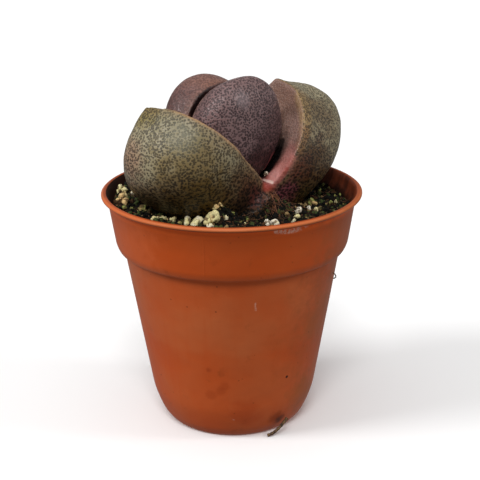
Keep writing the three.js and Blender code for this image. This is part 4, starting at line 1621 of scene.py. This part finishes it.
@dataclass
class PottingMix:
    """Peat that fills the pot, with crumbs, perlite and fibres on it.

    Each of the grains has its place across the pot, its width and how stained it is. The lodged one sits
    in the cleft between the leaves, so it also has a height.
    """

    pot: NurseryPot
    level: float = 47.5
    fall_x: float = 0.03
    fall_y: float = 0.012
    mounds: tuple[Mound, ...] = (
        Mound(8.3, -7.2, 2.7, 4.2), Mound(-2.2, -14.2, 1.9, 3.9), Mound(-22.5, 4.0, 5.0, 1.1),
    )
    gap: float = 0.3
    wall_gap: float = 0.12
    rings: int = 96
    sides: int = 210
    seed: int = 7
    grains: tuple[tuple[float, float, float, float], ...] = (
        (-4.9, -16.9, 2.7, 0.35), (-3.6, -17.0, 2.9, 0.35), (-4.2, -18.3, 1.7, 0.1), (-8.9, -14.9, 2.6, 0.25),
        (-7.2, -16.1, 2.4, 0.2), (-6.3, -15.7, 2.2, 0.15), (-3.1, -15.0, 1.5, 0.5), (-2.1, -14.7, 1.6, 0.5),
        (-2.6, -14.6, 1.1, 0.5), (-1.2, -16.5, 1.2, 0.15), (0.3, -13.7, 0.9, 0.95), (-1.3, -14.5, 0.4, 0.9),
        (3.4, -12.1, 0.9, 0.9), (2.7, -15.1, 0.7, 0.3), (1.8, -14.7, 0.7, 0.9), (7.2, -16.3, 1.8, 0),
        (8.7, -14.8, 2.0, 0), (8.8, -11.3, 0.6, 0.1), (13.6, -7.6, 1.8, 0), (13.4, -9.0, 0.8, 0.1),
        (13.3, -11.4, 1.6, 0.3), (12.6, -12.5, 1.1, 0.2), (16.2, -4.5, 1.3, 0), (17.4, -5.2, 1.5, 0.3),
        (16.5, -6.6, 0.6, 0.1), (18.3, -6.0, 0.6, 0.9), (16.9, 1.2, 1.9, 0.85), (17.4, 0.4, 1.6, 0.7),
        (15.8, 1.1, 0.7, 0.95), (19.1, 9.1, 1.5, 0.8), (20.5, 13.6, 1.0, 0.9), (19.7, 12.9, 0.4, 0.9),
        (21.5, 12.3, 0.8, 0.9), (22.5, 6.8, 1.2, 0.75), (22.2, 1.9, 0.9, 0.25), (23.8, 7.3, 0.9, 0.9),
        (20.9, -0.2, 1.2, 0.95), (23.7, 1.0, 0.6, 0.9), (15.1, -9.5, 0.8, 0.6), (-24.5, 4.1, 1.5, 0.3),
        (-23.0, 3.3, 1.6, 0.3), (-24.5, 3.1, 1.1, 0.35), (-23.1, 2.7, 1.2, 0.4), (-24.0, 5.1, 1.2, 0.35),
        (-21.0, 1.7, 1.2, 0.1), (-22.9, -0.9, 2.1, 0.5), (-24.0, -2.8, 1.7, 0.5), (-22.2, -3.2, 2.1, 0.55),
        (-23.2, -1.9, 1.7, 0.5), (-22.2, -6.6, 1.1, 0.95), (-18.6, -5.1, 2.4, 0.8), (-18.9, -8.5, 1.1, 0.7),
        (-18.0, -6.0, 1.2, 0.8), (-20.8, -6.1, 0.9, 0.95), (-20.4, -9.8, 1.0, 0.95), (-15.5, -14.8, 1.7, 0.3),
        (-14.5, -11.8, 1.7, 0.3), (-13.8, -12.3, 1.5, 0.3), (-12.9, -13.1, 1.1, 0.6), (-13.3, -8.7, 0.4, 0.9),
        (-11.7, -13.5, 1.6, 0.35), (-10.4, -14.6, 1.2, 0.7),
    )
    lodged: tuple[float, float, float, float, float] = (7.15, -3.4, 55.0, 1.1, 0.0)
    grain_lift: float = 0.25
    far_grain_count: int = 26
    strand_count: int = 16
    far_grain_arc: tuple[float, float] = (0.12, 0.88)
    far_grain_ring: tuple[float, float] = (15.0, 22.5)
    far_grain_sizes: tuple[float, float] = (1.0, 2.8)
    far_grain_stains: tuple[float, float] = (0.0, 0.9)
    ring_bunching: float = 0.8
    open_height: float = 0.8
    crumbs_per_area: float = 4.2e6
    crumb_sizes: tuple[float, float] = (0.14, 0.85)
    crumb_clouds: float = 1500.0
    crumb_bend: float = 0.45
    fibres_per_area: float = 1.5e6
    fibre_length: float = 3.4
    fibre_thickness: float = 0.14
    fibre_clouds: float = 420.0
    fibre_bend: float = 1.3
    strand_fall: tuple[float, float] = (1.9, -4.4)

    def height(self, x: float, y: float) -> float:
        """The height of the soil's surface without its crumbs."""
        long_waves = 0.35 * math.sin(0.62 * x + 0.9) * math.cos(0.55 * y - 0.4)
        short_waves = 0.2 * math.sin(1.3 * y + 0.7 * x)
        tilted = self.level - self.fall_x * x - self.fall_y * y
        return tilted + sum(mound.rise(x, y) for mound in self.mounds) + long_waves + short_waves

    def build(self, plant: list[bpy.types.Object]) -> list[bpy.types.Object]:
        """Builds the bed of peat under the plant, then what lies on it."""
        bed = self._bed(plant)
        crumbs = self._crumbs(bed)
        fibres = self._fibres(bed)
        return [bed, crumbs, fibres, self._strands(), self._perlite()]

    def _bed(self, plant: list[bpy.types.Object]) -> bpy.types.Object:
        """The body of the soil, hollowed where the leaves and the rootstock sit in it.

        Args:
            plant: The leaves.

        Returns:
            The body, with how openly and how fibrous it lies kept on its points.
        """
        wall = self.pot.inner_radius(self.level) - self.wall_gap
        radii = wall * (np.arange(1, self.rings + 1) / self.rings) ** self.ring_bunching
        angles = angles_round(self.sides)
        under = [tree_of(piece.data) for piece in plant] + [tree_of(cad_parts["rootstock"].data)]
        top, open_top = [], []
        for radius in radii[::-1]:
            for angle in angles:
                x, y = radius * math.cos(angle), radius * math.sin(angle)
                free = self.height(x, y) + self._roughness(x, y)
                covered = self._underside(under, x, y)
                top.append((x, y, min(free, covered - self.gap)))
                open_top.append(1.0 if covered > free + self.open_height else 0.0)
        outline = self._hidden_outline(wall)
        sunk = [(r * math.cos(angle), r * math.sin(angle), z) for r, z in outline for angle in angles]
        points, count = sunk + top, self.sides
        rings = len(points) // count
        faces = [quad(ring, side, count) for ring in range(rings - 1) for side in range(count)]
        middle = [(0.0, 0.0, outline[0][1]), (0.0, 0.0, min(p[2] for p in top[-count:]))]
        first, last = len(points), len(points) + 1
        for side in range(count):
            following = (side + 1) % count
            faces.append((first, following, side))
            faces.append(((rings - 1) * count + side, (rings - 1) * count + following, last))
        bed = mesh_object("soil_bed", np.array(points + middle), faces)
        openness = np.concatenate([np.zeros(len(sunk)), open_top, [0.0, 0.0]])
        set_attribute(bed.data, "open", openness)
        places = points_of(bed.data)
        near_mound = np.hypot(places[:, 0] - self.mounds[0].x, places[:, 1] - self.mounds[0].y)
        set_attribute(bed.data, "fibrous", openness * (0.08 + eased(near_mound, 6.5, 2.0)))
        bed.data.materials.append(Peat().material())
        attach(bed, "root")
        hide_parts("soil")
        return bed

    def _roughness(self, x: float, y: float) -> float:
        """The lumps of the peat's surface."""
        return 0.55 * noise.fractal(Vector((x * 0.45, y * 0.45, 3.0)), 0.8, 2.1, 4)

    @staticmethod
    def _underside(trees: list[BVHTree], x: float, y: float) -> float:
        """The lowest skin of the plant over a place.

        Args:
            trees: Search trees of the plant's pieces.
            x: The place, in millimetres.
            y: The same.

        Returns:
            The skin's height, or a great height where there is none.
        """
        lowest = 1e3
        for tree in trees:
            hit = tree.ray_cast(Vector((x * MM, y * MM, 0.002)), Vector((0, 0, 1)))[0]
            if hit is not None:
                lowest = min(lowest, hit.z * PER_METRE)
        return lowest

    def _hidden_outline(self, wall: float) -> list[tuple[float, float]]:
        """The soil's outline against the pot, from the floor up.

        Args:
            wall: The radius of the bed's top.

        Returns:
            Radii and heights.
        """
        pot, gap = self.pot, self.gap
        floor = pot.recess + pot.wall + gap
        shares = ((pot.body_foot + 0.1, 0.2), (pot.body_top + 0.1, 0.1), (pot.collar_foot + 0.5, 0.1))
        sides = [(pot.inner_radius(z) - gap - inset, z) for z, inset in shares]
        return [
            (pot.foot_radius - 0.8, floor),
            (pot.foot_radius + 1.2, floor + 1.2),
            *sides,
            (wall - 0.15, self.level - 1.8),
        ]

    def _crumbs(self, bed: bpy.types.Object) -> bpy.types.Object:
        """Crumbs of peat, scattered densely over the open surface.

        Args:
            bed: The body of the soil.

        Returns:
            The crumbs.
        """
        growth = Growth("crumb_scatter", "Smallest", "Largest")
        smallest, largest = growth.take("Smallest"), growth.take("Largest")
        size = smallest + growth.drawn(0.0, 1.0, 11) ** 3.0 * (largest - smallest)
        uneven = growth.drawn((0.7, 0.55, 0.45), (1.35, 1.1, 0.9), 12, "FLOAT_VECTOR")
        turn = growth.drawn((0.0, 0.0, 0.0), (ABOUT_A_TURN,) * 3, 13, "FLOAT_VECTOR")
        lump = growth.node("GeometryNodeMeshIcoSphere", None, {"Radius": 1.0, "Subdivisions": 1})
        scale = growth.scaled(uneven, size)
        lumps = growth.copied(growth.strewn("open"), growth.out(lump, "Mesh"), turn, scale)
        shaded = growth.node(
            "GeometryNodeStoreNamedAttribute",
            {"data_type": "FLOAT", "domain": "INSTANCE"},
            {"Geometry": lumps, "Name": "shade", "Value": growth.drawn(0.0, 1.0, 14)},
        )
        bent = growth.wandering(growth.out(shaded), self.crumb_clouds, self.crumb_bend * MM)
        growth.finish(bent, smooth=False)
        values = {
            "Pieces per area": self.crumbs_per_area,
            "Smallest": self.crumb_sizes[0] * MM,
            "Largest": self.crumb_sizes[1] * MM,
            "Seed": self.seed,
            "Finish": Peat("peat_crumb", loose=True).material(),
        }
        crumbs = growth.grow(bed, "peat_crumbs", values)
        self._keep_inside(crumbs)
        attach(crumbs, "root")
        return crumbs

    def _keep_inside(self, piece: bpy.types.Object) -> None:
        """Draws a piece's outermost points in, so that they don't pass through the pot's wall."""
        points = points_of(piece.data)
        radius = np.hypot(points[:, 0], points[:, 1])
        limit = self.pot.inner_radius(self.level) - 0.04
        points[:, :2] *= np.minimum(1.0, limit / np.maximum(radius, 1e-6))[:, None]
        set_points(piece.data, points)

    def _fibres(self, bed: bpy.types.Object) -> bpy.types.Object:
        """Fine bent fibres, most of them on the mound beside the cleft.

        Args:
            bed: The body of the soil.

        Returns:
            The fibres.
        """
        growth = Growth("fibre_scatter", "Length", "Thickness")
        start, middle, end = (-0.5, 0.0, 0.0), (0.0, 0.35, 0.12), (0.5, 0.0, 0.05)
        bend = {"Resolution": 9, "Start": start, "Middle": middle, "End": end}
        arc = growth.out(growth.node("GeometryNodeCurveQuadraticBezier", None, bend))
        size = growth.take("Length") * growth.drawn(0.35, 1.0, 21)
        turn = growth.drawn((-0.5, -0.5, 0.0), (0.5, 0.5, ABOUT_A_TURN), 22, "FLOAT_VECTOR")
        arcs = growth.copied(growth.strewn("fibrous"), arc, turn, size)
        round_section = {"Resolution": 5, "Radius": growth.take("Thickness") * 0.5}
        section = growth.node("GeometryNodeCurvePrimitiveCircle", {"mode": "RADIUS"}, round_section)
        course = {
            "Curve": growth.wandering(arcs, self.fibre_clouds, self.fibre_bend * MM),
            "Profile Curve": growth.out(section),
            "Fill Caps": True,
        }
        growth.finish(growth.out(growth.node("GeometryNodeCurveToMesh", None, course)), smooth=True)
        values = {
            "Pieces per area": self.fibres_per_area,
            "Length": self.fibre_length * MM,
            "Thickness": self.fibre_thickness * MM,
            "Seed": self.seed,
            "Finish": PlantFibre("coir", dark=colour(46, 28, 16), light=colour(118, 74, 44)).material(),
        }
        fibres = growth.grow(bed, "coir_fibres", values)
        self._keep_inside(fibres)
        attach(fibres, "root")
        return fibres

    def _strands(self) -> bpy.types.Object:
        """Coarse strands that hang down the mound beside the cleft."""
        draw = np.random.default_rng(self.seed + 1)
        mound = self.mounds[0]
        parts = []
        for _ in range(self.strand_count):
            start = np.array([mound.x - 0.3, mound.y - 0.6]) + draw.normal(0.0, 0.55, 2)
            course = np.array(self.strand_fall) * draw.uniform(0.45, 1.1) + draw.normal(0.0, 0.5, 2)
            shares = np.linspace(0.0, 1.0, 12)
            sway = np.sin(shares * math.pi * draw.uniform(0.8, 2.2)) * draw.uniform(-0.5, 0.5)
            flat = start + shares[:, None] * course + sway[:, None] * np.array([0.92, 0.4])
            arch = np.sin(shares * math.pi) * draw.uniform(0.1, 0.7) + 0.25
            path = np.array([(x, y, self.height(x, y) + lift) for (x, y), lift in zip(flat, arch)])
            radii = draw.uniform(0.04, 0.085) * (0.45 + 0.55 * np.sin(shares * math.pi) ** 0.5)
            parts.append(tube(path, radii))
        strands = mesh_object("mound_strands", *joined(parts))
        finish = PlantFibre("strand", dark=colour(62, 32, 18), light=colour(138, 86, 52))
        strands.data.materials.append(finish.material())
        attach(strands, "root")
        return strands

    def _perlite(self) -> bpy.types.Object:
        """Grains like popcorn: those in view where they lie, and others on the far side."""
        draw = np.random.default_rng(self.seed)
        ball = bmesh.new()
        bmesh.ops.create_icosphere(ball, subdivisions=3, radius=1.0)
        ball_points = np.array([v.co[:] for v in ball.verts])
        ball_faces = [tuple(v.index for v in face.verts) for face in ball.faces]
        ball.free()
        places = [*self.grains, (*self.lodged[:2], *self.lodged[3:])]
        for _ in range(self.far_grain_count):
            angle = draw.uniform(*self.far_grain_arc) * math.pi
            radius = draw.uniform(*self.far_grain_ring)
            spot = (radius * math.cos(angle), radius * math.sin(angle))
            size, stain = draw.uniform(*self.far_grain_sizes), draw.uniform(*self.far_grain_stains)
            places.append((*spot, size, stain))
        parts, crevice_shade, stains = [], [], []
        for number, (x, y, size, stain) in enumerate(places):
            grain, crevice_shades = self._popcorn(ball_points, size, draw)
            limit = self.pot.inner_radius(self.level) - 0.5 * size
            pull = min(1.0, limit / math.hypot(x, y))
            centre = (x * pull, y * pull, self.height(x * pull, y * pull) + self.grain_lift * size)
            if number == len(self.grains):
                centre = self.lodged[:3]
            parts.append((grain + centre, ball_faces))
            crevice_shade.append(crevice_shades)
            stains.append(np.full(len(grain), stain))
        perlite = mesh_object("perlite_grains", *joined(parts))
        # How deep each point lies between the knobs, for the painted shade there.
        set_attribute(perlite.data, "crevice_shade", np.concatenate(crevice_shade))
        set_attribute(perlite.data, "stain", np.concatenate(stains))
        perlite.data.materials.append(PerliteGlass().material())
        self._keep_inside(perlite)
        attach(perlite, "root")
        return perlite

    @staticmethod
    def _popcorn(ball: np.ndarray, size: float, draw: np.random.Generator) -> tuple[np.ndarray, np.ndarray]:
        """One grain of rounded knobs.

        Args:
            ball: Points of a unit ball.
            size: The grain's mean width in millimetres.
            draw: The source of random numbers.

        Returns:
            The grain's points, and how deep each lies between the knobs.
        """
        knobs = draw.normal(size=(draw.integers(6, 10) + int(2.5 * size), 3))
        knobs /= np.linalg.norm(knobs, axis=1, keepdims=True)
        spread = draw.uniform(0.42, 0.8, len(knobs))
        angles = np.arccos(np.clip(ball @ knobs.T, -1.0, 1.0)) / spread
        swell = np.sqrt(np.clip(1 - angles**2, 0.0, 1.0)).max(axis=1)
        fine = np.array([noise.noise(Vector(p * 3.5) + Vector(knobs[0] * 9)) for p in ball])
        reach = 0.66 + 0.38 * swell + 0.08 * fine
        shape = ball * reach[:, None] * draw.uniform((0.85, 0.8, 0.65), (1.25, 1.05, 0.9))
        turn = np.array(Euler(tuple(draw.uniform(0, ABOUT_A_TURN, 3))).to_matrix())
        return shape @ turn.T * (size / 2), 1 - swell


@dataclass
class Rootstock:
    """The short stem and taproot in the soil, and two bits of old root stuck to the pot outside."""

    bits: tuple[tuple[tuple[Point, ...], float], ...] = (
        (
            (
                (7.2, -15.0, 0.42), (8.4, -14.5, 0.75), (9.5, -14.0, 1.5), (10.5, -13.6, 2.5),
                (11.4, -13.2, 3.6),
            ),
            0.33,
        ),
        (((21.0, -8.6, 34.9), (21.5, -8.8, 34.5), (21.6, -8.9, 34.0), (21.2, -8.7, 33.6)), 0.13),
    )

    def build(self) -> list[bpy.types.Object]:
        """Gives the hidden rootstock its bark and adds the bits."""
        bark = PlantFibre("root_bark", dark=colour(46, 30, 16), light=colour(118, 88, 54)).material()
        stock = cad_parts["rootstock"]
        stock.data.materials.clear()
        stock.data.materials.append(bark)
        parts = []
        for knots, radius in self.bits:
            path = curve_through(np.array(knots), 6, False)
            uneven = radius * (1 + 0.12 * np.sin(np.arange(len(path)) * 1.7))
            parts.append(tube(path, uneven, 8))
        stray = mesh_object("stray_bits", *joined(parts))
        stray.data.materials.append(bark)
        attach(stray, "root")
        return [stock, stray]


# The studio


@dataclass(frozen=True)
class Softbox:
    """A far lamp: where it stands, how wide it looks and how much light it gives a surface that faces it."""

    name: str
    azimuth: float
    elevation: float
    width: float
    light: float


@dataclass
class Studio:
    """A pale floor, soft lights and the camera of the photo."""

    distance: float = 275.0
    elevation: float = 19.0
    roll: float = 0.5
    aim: Point = (1.67, 0.0, 39.3)
    lens: float = 96.3
    sensor_width: float = 36.0
    clipping: tuple[float, float] = (0.01, 20.0)
    floor_reach: float = 3000.0
    air: float = 0.28
    lamps: tuple[Softbox, ...] = (
        Softbox("key_softbox", azimuth=-72, elevation=39, width=20, light=0.47),
        Softbox("front_softbox", azimuth=-3, elevation=51, width=18, light=0.36),
        Softbox("overhead_softbox", azimuth=-20, elevation=76, width=60, light=0.26),
        Softbox("window_softbox", azimuth=80, elevation=32, width=14, light=0.2),
    )

    def build(self) -> list[bpy.types.Object]:
        """Makes the floor, the lights and the camera."""
        floor = self._floor()
        self._camera()
        for lamp in self.lamps:
            self._light(lamp)
        world = bpy.data.worlds.new("studio_air")
        world.use_nodes = True
        air = world.node_tree.nodes["Background"]
        air.inputs["Color"].default_value = (1.0, 1.0, 1.0, 1.0)
        air.inputs["Strength"].default_value = self.air
        bpy.context.scene.world = world
        bpy.context.scene.view_settings.view_transform = "Standard"
        return [floor]

    def _direction(self, azimuth: float, elevation: float) -> np.ndarray:
        """The direction of an azimuth, to the right of the camera's side, and an elevation."""
        turn, rise = math.radians(azimuth), math.radians(elevation)
        return np.array([math.sin(turn) * math.cos(rise), -math.cos(turn) * math.cos(rise), math.sin(rise)])

    def _camera(self) -> None:
        """Places the camera at the photo's viewing angle."""
        back = self._direction(0.0, self.elevation)
        right = np.array([1.0, 0.0, 0.0])
        up = np.cross(back, right)
        turn = math.radians(self.roll)
        across = math.cos(turn) * right - math.sin(turn) * up
        upright = math.sin(turn) * right + math.cos(turn) * up
        where = (np.array(self.aim) + back * self.distance) * MM
        data = bpy.data.cameras.new("camera")
        data.lens = self.lens
        data.sensor_width = self.sensor_width
        data.clip_start, data.clip_end = self.clipping
        camera = new_object("camera", data)
        matrix = Matrix.Identity(4)
        for column, axis in enumerate((across, upright, back, where)):
            for row in range(3):
                matrix[row][column] = axis[row]
        camera.matrix_world = matrix
        bpy.context.scene.camera = camera

    def _light(self, lamp: Softbox) -> None:
        """Adds a lamp so far away that its light doesn't fall off.

        Args:
            lamp: The lamp.
        """
        data = bpy.data.lights.new(lamp.name, "SUN")
        data.angle = math.radians(lamp.width)
        data.energy = lamp.light * math.pi
        made = new_object(lamp.name, data)
        direction = self._direction(lamp.azimuth, lamp.elevation)
        made.rotation_euler = Vector(direction).to_track_quat("Z", "Y").to_euler()

    def _floor(self) -> bpy.types.Object:
        """A wide flat sheet under the pot, which sends no light back up to it."""
        corners = np.array([(-1, -1, 0), (1, -1, 0), (1, 1, 0), (-1, 1, 0)]) * self.floor_reach
        floor = mesh_object("floor", corners, [(0, 1, 2, 3)])
        floor.data.materials.append(PaleFloor().material())
        floor.visible_diffuse = False
        floor.visible_glossy = False
        return floor


def main() -> None:
    """Builds the studio, the pot, the plant and the soil, and reports each piece."""
    logging.basicConfig(level=logging.INFO, format="%(name)s: %(message)s")
    Studio().build()
    pot = NurseryPot()
    plant = SplitRock().build()
    pieces = [pot.build(), *plant, *PottingMix(pot).build(plant), *Rootstock().build()]
    for piece in pieces:
        mesh = piece.data
        mesh.calc_loop_triangles()
        log.info("%s: %d points, %d triangles", piece.name, len(mesh.vertices), len(mesh.loop_triangles))


if __name__ == "__main__":
    main()
